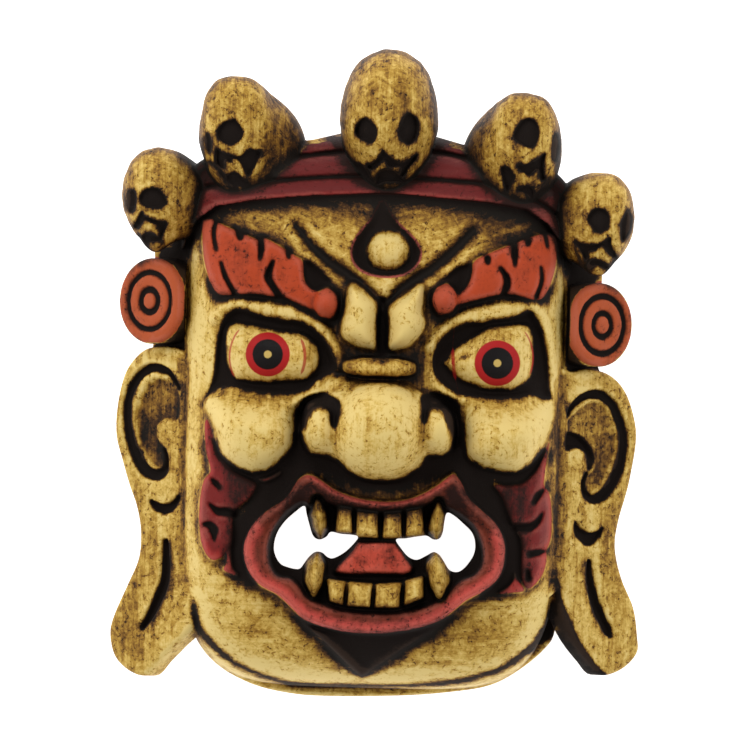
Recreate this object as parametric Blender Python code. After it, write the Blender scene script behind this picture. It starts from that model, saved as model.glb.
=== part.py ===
"""A Bhairab mask carved from one block of wood: a wrathful face under a skull crown.

The mask lies on its back. +Z is the way the face looks, +Y is the crown, +X is the side on
the right of someone who looks at the face. The back rim lies in the plane z = 0. Sizes are
in millimetres and become metres where a mesh is made.
"""

import math

import bmesh
import bpy
from mathutils import Matrix, Vector

MM = 0.001
WELD = 0.00001
# A length past the whole mask, 264 wide, 325 tall and 120 deep, for what cuts through it.
CLEAR_ACROSS = 500.0
CLEAR_FRONT = 140.0

# The head block, a flattened dome on a rounded square: x, y and z radii, and its powers.
# STEEPEST is the share of the radii beyond which its side is taken as upright.
HEAD_CENTRE = (-2.5, -19.5)
HEAD_RADII = (95.0, 138.0, 75.0)
OUTLINE_POWER = 5.0
DOME_POWER = 4.0
STEEPEST = 0.985
WALL = 15.0
RIM_CENTRE = (-1.0, -20.5)
RIM_RADII = (94.5, 142.0)
RIM_DEPTH = 14.0

# The ribbed band across the forehead.
BAND_PROUD = 3.5
BAND_WINDOW = (99.5, 109.5)
BAND_POWER = 6.0
BAND_END = 58.0
BAND_SWEEP = (0.13, 0.87)
BAND_GROOVES = (118.5, 131.5)
BAND_GROOVE_RADIUS = 3.0

# Skulls: centre, radii and turn about the y axis in degrees, then where each one's holes lie
# as shares of its radii, and the radii of the holes.
SKULLS = {
    "centre": ((0.0, 126.5, 60.0), (23.0, 36.0, 36.0), 0.0),
    "inner_left": ((-67.0, 116.0, 48.0), (20.0, 30.5, 36.0), -35.0),
    "inner_right": ((60.5, 114.5, 48.0), (18.5, 28.5, 33.0), 35.0),
    "outer_left": ((-107.0, 82.5, 34.0), (19.0, 26.5, 29.0), -42.0),
    "outer_right": ((101.0, 77.0, 34.0), (18.5, 26.5, 28.0), 42.0),
}
SKULL_POWERS = (2.2, 2.2)
SKULL_TAPER = (0.38, 0.26)
TAPER_POWER = 1.8
SKULL_HOLES = {
    "eye_left": ((-0.45, -0.12, 0.86), (5.8, 7.2, 7.0)),
    "eye_right": ((0.45, -0.12, 0.86), (5.8, 7.2, 7.0)),
    "nose": ((0.0, -0.47, 0.90), (5.5, 4.2, 5.0)),
    "mouth": ((0.0, -0.75, 0.68), (8.0, 3.0, 6.0)),
}

# Ears and the discs above them. Each slab is turned outwards by EAR_TURN about its root.
EAR_TURN = 38.0
EAR_THICKNESS = 15.0
EARS = {
    -1: {"root": -97.2, "top": 11.0, "bottom": -153.5},
    1: {"root": 97.2, "top": 5.0, "bottom": -146.5},
}
EAR_ROOT_Z = 47.0
DISC_TURN = 42.0
DISC_THICKNESS = 17.0
DISCS = {-1: ((-115.5, 34.5), 21.0), 1: ((108.5, 29.0), 20.3)}
DISC_Z = 40.0
DISC_SIDES = 20
DISC_BEVEL = 2.2
DISC_RINGS = {"outer": 0.70, "inner": 0.32}
RING_RADIUS = 1.6

# Eyes, cheeks and brows, over the middle of the face.
EYE_CENTRE = (58.0, 9.5)
EYE_RADII = (26.0, 18.0, 15.0)
EYE_SUNK = 8.0
CHEEK_CENTRE = (64.0, -30.0, 72.0)
CHEEK_RADII = (21.5, 20.5, 25.0)
MIDDLE = -0.5
BROW_LIFT = 9.0
BROW_SLOT_RADIUS = 2.0

# Heights of the mouth: its floor, the backs and fronts of the teeth, and the tongue.
MOUTH_FLOOR = 66.0
TOOTH_BACK, TOOTH_FRONT = 60.0, 87.0
TONGUE_FRONT = 79.0
FANG_TIP = 0.22
LIP_LIFT, LIP_BEVEL = 15.0, 4.0
GEM_FLOOR = HEAD_RADII[2] - 6.5

SIDES = (-1, 1)
SIDE_NAMES = {-1: "left", 1: "right"}


def clear_scene():
    for obj in list(bpy.data.objects):
        bpy.data.objects.remove(obj, do_unlink=True)


def collection(name, helper=False):
    made = bpy.data.collections.new(name)
    made.hide_render = helper
    bpy.context.scene.collection.children.link(made)
    return made


def place(obj, group):
    """Moves obj into group; a helper group's objects are kept out of the finished part."""
    for other in list(obj.users_collection):
        other.objects.unlink(obj)
    group.objects.link(obj)
    if group.hide_render:
        obj.hide_render = True
        obj.display_type = "WIRE"
    return obj


def from_bmesh(name, bm, group):
    bmesh.ops.recalc_face_normals(bm, faces=bm.faces)
    mesh = bpy.data.meshes.new(name)
    bm.to_mesh(mesh)
    bm.free()
    return place(bpy.data.objects.new(name, mesh), group)


def head_height(x, y, proud=0.0):
    """Height over the back plane of the head block, or of a shell that stands proud of it."""
    wide, tall, deep = (radius + proud for radius in HEAD_RADII)
    across = abs((x - HEAD_CENTRE[0]) / wide) ** OUTLINE_POWER
    along = abs((y - HEAD_CENTRE[1]) / tall) ** OUTLINE_POWER
    reach = min((across + along) ** (1 / OUTLINE_POWER), STEEPEST)
    return deep * (1 - reach**DOME_POWER) ** (1 / DOME_POWER)


def signed_power(value, power):
    return math.copysign(abs(value) ** power, value)


def superegg(name, group, centre, radii, powers=(2.0, 2.0), steps=(16, 10), turn=0.0, shape=None):
    """A ball of the given radii whose outline and profile are squared off by the two powers."""
    bm = bmesh.new()
    bmesh.ops.create_uvsphere(bm, u_segments=steps[0], v_segments=steps[1], radius=1.0)
    outline, profile = powers
    for vert in bm.verts:
        x, y, z = vert.co
        flat = math.hypot(x, y)
        if flat > 1e-6:
            x, y = (signed_power(part / flat, 2 / outline) for part in (x, y))
        flat, z = signed_power(flat, 2 / profile), signed_power(z, 2 / profile)
        vert.co = Vector((x * flat * radii[0], y * flat * radii[1], z * radii[2]))
        if shape:
            vert.co = shape(vert.co)
    bmesh.ops.rotate(bm, verts=bm.verts, matrix=Matrix.Rotation(math.radians(turn), 3, "Y"))
    bmesh.ops.translate(bm, verts=bm.verts, vec=Vector(centre))
    bmesh.ops.scale(bm, verts=bm.verts, vec=(MM, MM, MM))
    return from_bmesh(name, bm, group)


def superellipse(centre, radii, power, count, start=0.0, end=2 * math.pi):
    """Points round a rounded rectangle, at even steps of its angle."""
    closed = end - start >= 2 * math.pi
    steps = count if closed else count - 1
    angles = (start + (end - start) * i / steps for i in range(count))
    return [
        (
            centre[0] + radii[0] * signed_power(math.cos(angle), 2 / power),
            centre[1] + radii[1] * signed_power(math.sin(angle), 2 / power),
        )
        for angle in angles
    ]


def to_mesh(obj, group):
    """Turns a curve object into a welded mesh object in millimetres-as-metres."""
    graph = bpy.context.evaluated_depsgraph_get()
    mesh = bpy.data.meshes.new_from_object(obj.evaluated_get(graph))
    name, matrix = obj.name, obj.matrix_world.copy()
    bpy.data.objects.remove(obj)
    bm = bmesh.new()
    bm.from_mesh(mesh)
    bpy.data.meshes.remove(mesh)
    bmesh.ops.remove_doubles(bm, verts=bm.verts, dist=WELD)
    made = from_bmesh(name, bm, group)
    made.matrix_world = matrix
    return made


def curve_object(name, runs, cyclic, smooth):
    """A curve of one spline for each run of points, smooth through them or straight between."""
    data = bpy.data.curves.new(name, "CURVE")
    for run in runs:
        spline = data.splines.new("BEZIER" if smooth else "POLY")
        points = spline.bezier_points if smooth else spline.points
        points.add(len(run) - 1)
        for point, place_at in zip(points, run):
            where = Vector((*place_at, 0.0)[:3]) * MM
            if smooth:
                point.co = where
                point.handle_left_type = point.handle_right_type = "AUTO"
            else:
                point.co = (*where, 1.0)
        spline.use_cyclic_u = cyclic
    obj = bpy.data.objects.new(name, data)
    bpy.context.scene.collection.objects.link(obj)
    return obj


def slab(name, group, runs, bottom, top, bevel=0.0, smooth=True, steps=3, drape=None, folds=()):
    """A flat outline, with any holes in it, between two heights.

    drape lifts each of its points by a height over the flat; folds are the x places where the
    slab is divided first, so that it can bend there.
    """
    obj = curve_object(name, runs, cyclic=True, smooth=smooth)
    data = obj.data
    data.dimensions = "2D"
    data.fill_mode = "BOTH"
    data.resolution_u = steps
    data.extrude = ((top - bottom) / 2 - bevel) * MM
    data.bevel_depth = bevel * MM
    data.bevel_resolution = 0
    data.offset = -bevel * MM
    obj.location.z = (top + bottom) / 2 * MM
    bpy.context.view_layer.update()
    made = to_mesh(obj, group)
    if drape:
        made.data.transform(made.matrix_world)
        made.matrix_world = Matrix()
        divide(made.data, folds)
        for vert in made.data.vertices:
            vert.co.z += drape(vert.co.x / MM, vert.co.y / MM) * MM
    return made


def divide(mesh, places):
    """Adds a line of points to the mesh at each x place."""
    bm = bmesh.new()
    bm.from_mesh(mesh)
    for x in places:
        everything = [*bm.verts, *bm.edges, *bm.faces]
        bmesh.ops.bisect_plane(bm, geom=everything, plane_co=(x * MM, 0, 0), plane_no=(1, 0, 0))
    bm.to_mesh(mesh)
    bm.free()


def tube(name, group, points, radius, cyclic=False, smooth=True, sides=0, steps=4):
    """A round bar along the points."""
    obj = curve_object(name, [points], cyclic=cyclic, smooth=smooth)
    data = obj.data
    data.dimensions = "3D"
    data.resolution_u = steps
    data.bevel_depth = radius * MM
    data.bevel_resolution = sides
    data.use_fill_caps = True
    bpy.context.view_layer.update()
    return to_mesh(obj, group)


def on_head(points, lift, proud=0.0):
    """Flat points raised to a height over the head block or the shell proud of it."""
    return [(x, y, head_height(x, y, proud) + lift) for x, y in points]


def boolean(obj, operation, operand):
    modifier = obj.modifiers.new(operation.title(), "BOOLEAN")
    modifier.operation = operation
    modifier.solver = "MANIFOLD"
    if isinstance(operand, bpy.types.Collection):
        modifier.operand_type = "COLLECTION"
        modifier.collection = operand
    else:
        modifier.object = operand
    return modifier


def turn_about(obj, pivot, degrees):
    """Turns obj about an upright line (along y) through pivot."""
    there = Matrix.Translation(Vector(pivot) * MM)
    obj.matrix_world = (
        there @ Matrix.Rotation(math.radians(degrees), 4, "Y") @ there.inverted() @ obj.matrix_world
    )


def mirrored(points, side):
    return [(side * point[0], *point[1:]) for point in points]


# Outlines in the model's own millimetres. A pair that is alike on both sides is given once, as
# distances from the middle of the face; a mirrored copy makes the other side.
EAR_OUTLINE = (
    (-12, 0.93), (0, 0.985), (12, 1.0), (24, 0.985), (34, 0.955), (41, 0.905), (44, 0.83),
    (44, 0.74), (41, 0.655), (36, 0.58), (31, 0.52), (28.5, 0.44), (29, 0.36), (35, 0.27),
    (42.5, 0.185), (46, 0.125), (43.5, 0.06), (35, 0.015), (23, 0.0), (10.5, 0.045),
    (1.5, 0.12), (-5.5, 0.19), (-12, 0.30),
)
HELIX_GROOVE = (
    (4, 0.90), (14, 0.945), (25, 0.945), (34, 0.895), (38, 0.81), (37.5, 0.72), (33, 0.645),
    (26, 0.60), (18, 0.595), (13.5, 0.635), (14.5, 0.70), (9, 0.745), (1, 0.76),
)
EAR_CRESCENT = ((6, 0.535), (14, 0.495), (24, 0.53))
LOBE_SLOT = ((13.5, 0.41), (13, 0.31), (17.5, 0.23), (25, 0.165), (26, 0.13))
EAR_GROOVES = {"helix": (HELIX_GROOVE, 2.4), "crescent": (EAR_CRESCENT, 2.6), "slot": (LOBE_SLOT, 2.2)}
# The wood left between the head, the ear and the skull above, as distances out from the root.
SIDE_WEB = ((-10, -20), (24, -20), (20, 8), (16, 40), (12, 72), (-10, 72))

BROW = (
    (93, 72), (84, 71.5), (76, 66.5), (70, 71.5), (58, 66), (48, 57.5), (42.5, 57), (41, 48),
    (34, 43), (33, 33), (44, 36), (54, 39), (66, 39.5), (82, 38), (88, 46), (91, 58),
)
BROW_KNOB = (26.0, 36.0)
BROW_SLOTS = (((84, 69), (84.5, 60)), ((64, 66), (63, 57)), ((81, 53), (78, 46), (76, 40)),
              ((56, 54), (59, 47), (55, 41)))
FURROW = ((43, 73), (34, 62.5), (22.5, 54), (11, 45.5), (2.5, 36))
GEM_OUTLINE = ((-2.5, 86.5), (-8, 74.5), (-16, 66), (-16, 57.5), (-8, 51), (1.5, 49.5), (10, 52),
               (17, 59), (16, 67), (6, 75))
LIP_OUTSIDE = (
    (0, -62.5), (13, -62), (23, -58.5), (31, -53), (38, -50), (45, -59), (52, -66), (60, -73),
    (65.5, -82.5), (65.5, -92.5), (61, -102), (50, -110), (43, -116), (35, -123), (22, -127),
    (0, -129),
)
LIP_INSIDE = (
    (0, -68), (12, -67), (24, -62.5), (33, -65.5), (41, -70.5), (48, -78), (51, -87), (48, -97),
    (39, -101), (37, -111), (24, -116.5), (0, -119),
)
MOUTH_HOLES = {
    -1: ((-37, -66.5), (-45, -73.5), (-50, -81), (-51.5, -88.5), (-47, -97), (-38.5, -98.2),
         (-32, -89.5), (-22.5, -92), (-12.5, -85.5), (-9.5, -81), (-23, -79), (-33.5, -80)),
    1: ((34.5, -68.7), (39.5, -70.5), (46.5, -76.8), (48.8, -83), (47.5, -90), (39.7, -97.3),
        (33, -92.5), (28.5, -88), (20, -92), (11.5, -86.3), (9.5, -81.4), (21, -80), (32, -79.5)),
}
SCROLL = (
    (85.5, -27), (81.5, -44), (71, -51.5), (54, -51), (60, -64), (71, -76), (73, -89), (69, -102),
    (77, -96), (84, -94), (88, -86), (89, -75), (89, -64), (87, -54),
)
CHEEK_FOLD = ((43, -36), (51, -50), (64, -62), (74, -74))
LIDS = {
    "upper": (((88, -8), (83, 14), (73, 26), (60, 29), (42, 26), (29, 15), (22, 2)), 4.0),
    "lower": (((88, -8), (74, -12), (50, -12), (34, -6), (24, 6)), 3.2),
}
NOSTRIL_CURL = ((20, -20), (24, -11), (31, -9.5), (38, -14), (41.5, -25))
# Teeth: the middle and width of each, then the two ends of the row's height.
TEETH = {
    "upper": (((-15.6, 7.5), (-5.0, 11), (7.2, 9.5), (17.8, 7.5)), (-80, -62)),
    "lower": (((-19.3, 9), (-7.2, 12.2), (6.5, 12.6), (18.2, 9)), (-120, -102)),
}
# Fangs: root and tip in x and y, and the radius at the root.
FANGS = {
    "upper_left": ((-28.5, -62), (-29.0, -83), 6.0),
    "upper_right": ((29.0, -62), (30.0, -83), 6.0),
    "lower_left": ((-32.5, -113), (-29.4, -89), 7.0),
    "lower_right": ((33.1, -113), (29.9, -89), 7.0),
}
TONGUE = ((-10, -82), (8.5, -82), (20, -104), (-23, -104))
GOATEE = ((-36, -123), (32.5, -124), (-2.3, -150.5))
GOATEE_KEEL = ((-35, -124), (-2.3, -150))


def add_head(group):
    powers = (OUTLINE_POWER, DOME_POWER)
    superegg("head_block", group, (*HEAD_CENTRE, 0), HEAD_RADII, powers, (32, 12))
    rim = superellipse(RIM_CENTRE, RIM_RADII, OUTLINE_POWER, 32)
    slab("back_rim", group, [rim], -4, RIM_DEPTH, bevel=2, smooth=False)


def add_band(group, tools):
    radii = [radius + BAND_PROUD for radius in HEAD_RADII]
    band = superegg(
        "forehead_band", group, (*HEAD_CENTRE, 0), radii, (OUTLINE_POWER, DOME_POWER), (32, 14)
    )
    window = superellipse(HEAD_CENTRE, BAND_WINDOW, BAND_POWER, 28)
    slab("band_window", tools, [window], -9, CLEAR_FRONT, smooth=False)
    far = CLEAR_ACROSS
    below = [(-far, BAND_END), (far, BAND_END), (far, -far), (-far, -far)]
    slab("band_ends", tools, [below], -10, CLEAR_FRONT + 1, smooth=False)
    for name in ("band_window", "band_ends"):
        boolean(band, "DIFFERENCE", bpy.data.objects[name])
    start, end = (math.pi * share for share in BAND_SWEEP)
    for index, reach in enumerate(BAND_GROOVES):
        radii = (BAND_WINDOW[0] - 2, reach)
        arc = superellipse(HEAD_CENTRE, radii, BAND_POWER, 13, start, end)
        name = f"band_groove_{index}"
        tube(name, tools, on_head(arc, 0.0, BAND_PROUD), BAND_GROOVE_RADIUS, smooth=False)
        boolean(band, "DIFFERENCE", bpy.data.objects[name])


def skull_shape(radii):
    """Narrows a skull from its cheeks to its chin."""

    def shape(point):
        low = max(0.0, -point.y / radii[1])
        point.x *= 1 - SKULL_TAPER[0] * low**TAPER_POWER
        point.z *= 1 - SKULL_TAPER[1] * low**TAPER_POWER
        return point

    return shape


def add_skulls(group, cuts):
    for name, (centre, radii, turn) in SKULLS.items():
        shape = skull_shape(radii)
        superegg(f"skull_{name}", group, centre, radii, SKULL_POWERS, (16, 8), turn, shape)
        spin = Matrix.Rotation(math.radians(turn), 3, "Y")
        for part, (where, size) in SKULL_HOLES.items():
            at = spin @ Vector(radius * share for radius, share in zip(radii, where))
            superegg(f"skull_{name}_{part}", cuts, Vector(centre) + at, size, steps=(6, 4), turn=turn)


def ear_points(outline, side):
    """Ear points as distances out from the root, and heights between the ear's two ends."""
    ear = EARS[side]
    reach = ear["top"] - ear["bottom"]
    return [(ear["root"] + side * out, ear["bottom"] + reach * share) for out, share in outline]


def add_ears(group, cuts):
    for side in SIDES:
        name = SIDE_NAMES[side]
        pivot = (EARS[side]["root"], 0, EAR_ROOT_Z)
        front = EAR_ROOT_Z
        ear = slab(
            f"ear_{name}", group, [ear_points(EAR_OUTLINE, side)], front - EAR_THICKNESS, front,
            bevel=2.5, steps=2,
        )
        turn_about(ear, pivot, side * EAR_TURN)
        for groove, (outline, radius) in EAR_GROOVES.items():
            run = [(*point, front) for point in ear_points(outline, side)]
            made = tube(f"ear_{name}_{groove}", cuts, run, radius, steps=1)
            turn_about(made, pivot, side * EAR_TURN)
        run = [(EARS[side]["root"] + side * out, y) for out, y in SIDE_WEB]
        made = slab(f"side_web_{name}", group, [run], front - 14.0, front - 7.0, smooth=False)
        turn_about(made, pivot, side * EAR_TURN)


def add_discs(group, cuts):
    for side in SIDES:
        (x, y), radius = DISCS[side]
        bm = bmesh.new()
        bmesh.ops.create_cone(
            bm, segments=DISC_SIDES, radius1=radius * MM, radius2=radius * MM, depth=DISC_THICKNESS * MM,
            cap_ends=True,
        )
        rims = [edge for edge in bm.edges if len(edge.link_faces) == 2 and
                {len(face.verts) for face in edge.link_faces} == {4, DISC_SIDES}]
        bmesh.ops.bevel(bm, geom=rims, offset=DISC_BEVEL * MM, segments=1, affect="EDGES")
        disc = from_bmesh(f"disc_{SIDE_NAMES[side]}", bm, group)
        front = Matrix.Rotation(math.radians(side * DISC_TURN), 4, "Y")
        disc.matrix_world = (
            Matrix.Translation(Vector((x, y, DISC_Z)) * MM) @ front
            @ Matrix.Translation((0, 0, -DISC_THICKNESS / 2 * MM))
        )
        for ring, share in DISC_RINGS.items():
            circle = superellipse((0, 0), (share * radius, share * radius), 2, 14)
            name = f"disc_{SIDE_NAMES[side]}_{ring}"
            made = tube(name, cuts, circle, RING_RADIUS, cyclic=True, smooth=False)
            made.matrix_world = Matrix.Translation(Vector((x, y, DISC_Z)) * MM) @ front


def add_brows(group, cuts):
    for side in SIDES:
        name = SIDE_NAMES[side]
        slab(
            f"brow_{name}", group, [mirrored(BROW, side)], -8, BROW_LIFT, bevel=1.5, steps=1,
            drape=head_height, folds=[side * x for x in (58, 72, 83)],
        )
        x, y = BROW_KNOB[0] * side, BROW_KNOB[1]
        centre = (x, y, head_height(x, y) + 8)
        superegg(f"brow_knob_{name}", group, centre, (10, 9, 10), steps=(10, 6))
        for index, run in enumerate(BROW_SLOTS):
            bar = on_head(mirrored(run, side), BROW_LIFT + 0.5)
            tube(f"brow_slot_{name}_{index}", cuts, bar, BROW_SLOT_RADIUS, steps=1)
        ridge = on_head(mirrored(FURROW, side), 1.5)
        tube(f"furrow_{name}", cuts, ridge, 2.6, steps=2)


def add_eyes(group):
    for side in SIDES:
        name = SIDE_NAMES[side]
        eye = (EYE_CENTRE[0] * side + MIDDLE, EYE_CENTRE[1])
        centre = (*eye, head_height(*eye) - EYE_SUNK)
        superegg(f"eye_{name}", group, centre, EYE_RADII, steps=(14, 8))
        for lid, (outline, radius) in LIDS.items():
            tube(f"{lid}_lid_{name}", group, on_head(mirrored(outline, side), -0.5), radius, steps=2)


def add_cheeks(group):
    for side in SIDES:
        name = SIDE_NAMES[side]
        x, y, z = CHEEK_CENTRE
        superegg(f"cheek_{name}", group, (x * side + MIDDLE, y, z), CHEEK_RADII, steps=(14, 8))
        slab(
            f"scroll_{name}", group, [mirrored(SCROLL, side)], -10, 5.5, bevel=1.2, steps=1,
            drape=head_height, folds=[side * x for x in (70, 80)],
        )
        fold = on_head(mirrored(CHEEK_FOLD, side), -1.0)
        tube(f"cheek_fold_{name}", group, fold, 4.5, steps=2)


def add_nose(group, cuts):
    superegg("nose_bridge", group, (-1.5, 1.0, 76), (19, 24, 22), steps=(12, 7))
    superegg("nose_wings", group, (-1.5, -23.0, 80), (40, 16.5, 23), (2.4, 2.2), steps=(14, 7))
    superegg("nose_ball", group, (-1.0, -28.0, 84), (25, 26, 36), (2.2, 2.1), steps=(16, 8))
    for side in SIDES:
        name = SIDE_NAMES[side]
        superegg(f"nostril_{name}", group, (29.5 * side - 1.5, -24.5, 80), (14, 15.5, 25), steps=(10, 7))
        run = [(x * side + 2 * MIDDLE, y, 99.0 - 0.85 * abs(x - 22)) for x, y in NOSTRIL_CURL]
        tube(f"nostril_curl_{name}", cuts, run, 2.6, steps=2)
        superegg(f"glabella_{name}", group, (12.5 * side, 27.5, 76), (11, 17, 19), steps=(10, 7))


def add_gem(cuts, boss):
    slab("gem_recess", cuts, [GEM_OUTLINE], GEM_FLOOR, CLEAR_FRONT, steps=2)
    superegg("gem_boss", boss, (1.0, 62.0, 68), (10.2, 10.2, 8.5), steps=(12, 6))


def add_mouth(group, cuts, teeth, holes):
    outside = list(mirrored(LIP_OUTSIDE, -1)) + list(LIP_OUTSIDE[-2:0:-1])
    slab("lips", group, [outside], -12, LIP_LIFT, bevel=LIP_BEVEL, steps=1, drape=head_height)
    inside = list(mirrored(LIP_INSIDE, -1)) + list(LIP_INSIDE[-2:0:-1])
    slab("mouth_recess", cuts, [inside], MOUTH_FLOOR, CLEAR_FRONT, smooth=False)
    for row, (across, (low, high)) in TEETH.items():
        for index, (x, width) in enumerate(across):
            left, right = x - width / 2, x + width / 2
            corners = [(left, low), (right, low), (right, high), (left, high)]
            name = f"tooth_{row}_{index}"
            slab(name, teeth, [corners], TOOTH_BACK, TOOTH_FRONT, bevel=1.4, smooth=False)
    for name, (root, tip, radius) in FANGS.items():
        ends = (*root, TONGUE_FRONT + 1), (*tip, TOOTH_FRONT - 1)
        fang(f"fang_{name}", teeth, *ends, radius)
    slab("tongue", teeth, [TONGUE], TOOTH_BACK, TONGUE_FRONT, bevel=3, smooth=False)
    for side, outline in MOUTH_HOLES.items():
        name = f"mouth_hole_{SIDE_NAMES[side]}"
        slab(name, holes, [outline], -20, CLEAR_FRONT, smooth=False)


def fang(name, group, root, tip, radius):
    """A tapered round tooth from root to tip."""
    root, tip = Vector(root) * MM, Vector(tip) * MM
    bm = bmesh.new()
    bmesh.ops.create_cone(
        bm, segments=8, radius1=radius * MM, radius2=radius * FANG_TIP * MM,
        depth=(tip - root).length, cap_ends=True,
    )
    made = from_bmesh(name, bm, group)
    along = (tip - root).to_track_quat("Z", "Y").to_matrix().to_4x4()
    made.matrix_world = Matrix.Translation((root + tip) / 2) @ along


def add_goatee(group):
    slab("goatee", group, [GOATEE], -10, 3.0, bevel=1.0, smooth=False, drape=head_height)
    tube("goatee_keel", group, on_head(GOATEE_KEEL, 2.0), 3.0, smooth=False)


def add_hollow(cuts):
    centre = (*HEAD_CENTRE, -1.0)
    radii = [radius - WALL for radius in HEAD_RADII]
    superegg("hollow", cuts, centre, radii, (OUTLINE_POWER, DOME_POWER), (24, 8))
    far = CLEAR_ACROSS
    below = [(-far, -far), (far, -far), (far, far), (-far, far)]
    slab("below_the_rim", cuts, [below], -100, 0, smooth=False)


def carved_material():
    material = bpy.data.materials.new("carved_wood")
    material.use_nodes = True
    principled = material.node_tree.nodes["Principled BSDF"]
    principled.inputs["Base Color"].default_value = (0.56, 0.40, 0.14, 1.0)
    principled.inputs["Roughness"].default_value = 0.5
    principled.inputs["Metallic"].default_value = 0.0
    return material


def main():
    clear_scene()
    mask_group = collection("bhairab_mask")
    raised = collection("raised_carving", helper=True)
    cuts = collection("carved_away", helper=True)
    mouth = collection("teeth_tongue_and_gem", helper=True)
    holes = collection("mouth_holes", helper=True)
    tools = collection("band_tools", helper=True)
    add_head(raised)
    add_band(raised, tools)
    add_skulls(raised, cuts)
    add_ears(raised, cuts)
    add_discs(raised, cuts)
    add_brows(raised, cuts)
    add_eyes(raised)
    add_cheeks(raised)
    add_nose(raised, cuts)
    add_gem(cuts, mouth)
    add_mouth(raised, cuts, mouth, holes)
    add_goatee(raised)
    add_hollow(cuts)

    mask = bpy.data.objects["head_block"]
    mask.name = mask.data.name = "carved_mask"
    mask.hide_render = False
    mask.display_type = "TEXTURED"
    place(mask, mask_group)
    mask.data.materials.append(carved_material())
    for operation, group in (
        ("UNION", raised), ("DIFFERENCE", cuts), ("UNION", mouth), ("DIFFERENCE", holes)
    ):
        boolean(mask, operation, group)


if __name__ == "__main__":
    main()
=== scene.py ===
"""The looks of a Bhairab mask, carved from one block of wood and painted.

The mask lies on its back: +Z is the way the face looks, +Y is the crown, and +X is the side on
the right of someone who looks at the face. Lengths are millimetres until a mesh is made.

The wood is held as a field of distances on a lattice. The front of the head is a panel of
columns, each raised or cut by the carver's marks; skulls, ears, discs and the hollow are solids
joined to it or cut from it. The same outlines then say where each paint goes.
"""

import logging
import math
from dataclasses import dataclass, field, replace
from enum import Enum
from typing import Any, Callable, Sequence

import bpy
import numpy as np
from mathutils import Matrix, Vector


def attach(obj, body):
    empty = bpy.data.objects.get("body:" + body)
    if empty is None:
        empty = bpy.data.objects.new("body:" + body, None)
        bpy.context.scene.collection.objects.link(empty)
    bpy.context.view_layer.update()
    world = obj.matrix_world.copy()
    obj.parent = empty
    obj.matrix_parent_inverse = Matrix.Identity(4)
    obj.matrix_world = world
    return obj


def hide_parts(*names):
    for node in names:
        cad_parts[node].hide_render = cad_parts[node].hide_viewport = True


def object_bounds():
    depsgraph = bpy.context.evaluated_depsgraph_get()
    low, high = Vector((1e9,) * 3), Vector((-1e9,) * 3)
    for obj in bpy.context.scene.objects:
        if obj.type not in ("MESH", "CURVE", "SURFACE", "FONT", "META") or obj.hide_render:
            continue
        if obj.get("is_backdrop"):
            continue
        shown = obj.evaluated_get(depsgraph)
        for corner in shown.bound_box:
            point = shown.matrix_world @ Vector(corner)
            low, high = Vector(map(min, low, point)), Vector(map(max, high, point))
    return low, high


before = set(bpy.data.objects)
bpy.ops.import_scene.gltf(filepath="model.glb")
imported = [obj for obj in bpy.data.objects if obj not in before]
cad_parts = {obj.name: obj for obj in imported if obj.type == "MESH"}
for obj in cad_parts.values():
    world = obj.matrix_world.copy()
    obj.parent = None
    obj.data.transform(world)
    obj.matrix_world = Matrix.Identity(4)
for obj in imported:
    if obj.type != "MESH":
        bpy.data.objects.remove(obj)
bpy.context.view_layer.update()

import openvdb
from mathutils import Euler, Vector

Run = Sequence[tuple[float, float]]
Line = tuple[Run, Sequence[float]]
Colour = tuple[float, float, float]
Array = np.ndarray
LOG = logging.getLogger("mask")

MM = 0.001
SPAN = ((-135.5, 134.0), (-165.5, 165.5), (-2.8, 122.5))
STEP = 0.7
TRIANGLES = 192_000
FAR = 14.0


class Side(Enum):
    """The two sides of the face, as the sign of x."""

    LEFT = -1
    RIGHT = 1


def path(text: str) -> Run:
    """The points of a line or an outline, from text that gives each as x,y."""
    return tuple(tuple(map(float, point.split(","))) for point in text.split())


def paths(text: str) -> tuple[Run, ...]:
    """Several runs, from text with a slash between each two."""
    return tuple(map(path, text.split("/")))


def lines(text: str) -> tuple[Line, ...]:
    """Several lines: for each a run, a colon and its widths, with a slash between each two."""
    parts = (line.split(":") for line in text.split("/"))
    return tuple((path(run), tuple(map(float, widths.split()))) for run, widths in parts)


def unit(values: Array) -> Array:
    """Values kept between 0 and 1."""
    return np.clip(values, 0, 1)


def ramp(distance: Array, edge: float) -> Array:
    """One inside an outline and nothing outside it, over a soft edge.

    Args:
        distance: distances from the outline, negative inside.
        edge: width of the soft edge, centred on the outline.

    Returns:
        The share of each point that is inside.
    """
    share = unit(0.5 - distance / edge)
    return share * share * (3.0 - 2.0 * share)


def bulge(distance: Array, width: float) -> Array:
    """A quarter-round profile: nothing at the outline, one from width inside it.

    Args:
        distance: distances from the outline, negative inside.
        width: how far in the profile levels off.

    Returns:
        The height of the profile at each point, from 0 to 1.
    """
    share = unit(-distance / width)
    return np.sqrt(1.0 - (1.0 - share) ** 2)


def smooth(run: Run, closed: bool, steps: int = 5) -> Array:
    """Points on a smooth line through the points of a run.

    Args:
        run: the points that the line goes through.
        closed: whether the line comes back to its start.
        steps: points for each stretch between two points of the run.

    Returns:
        An array of x and y, one row for each point.
    """
    knots = np.array(run, np.float64)
    if closed:
        padded = np.concatenate([knots[-1:], knots, knots[:2]])
    else:
        padded = np.concatenate([2 * knots[:1] - knots[1:2], knots, 2 * knots[-1:] - knots[-2:-1]])
    share = (np.arange(steps) / steps)[None, :, None]
    a, b, c, d = (padded[i : len(padded) - 3 + i, None, :] for i in range(4))
    line = 0.5 * (
        2 * b + (c - a) * share + (2 * a - 5 * b + 4 * c - d) * share**2
        + (3 * b - a - 3 * c + d) * share**3
    )
    line = line.reshape(-1, 2)
    return line if closed else np.concatenate([line, knots[-1:]])


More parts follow.
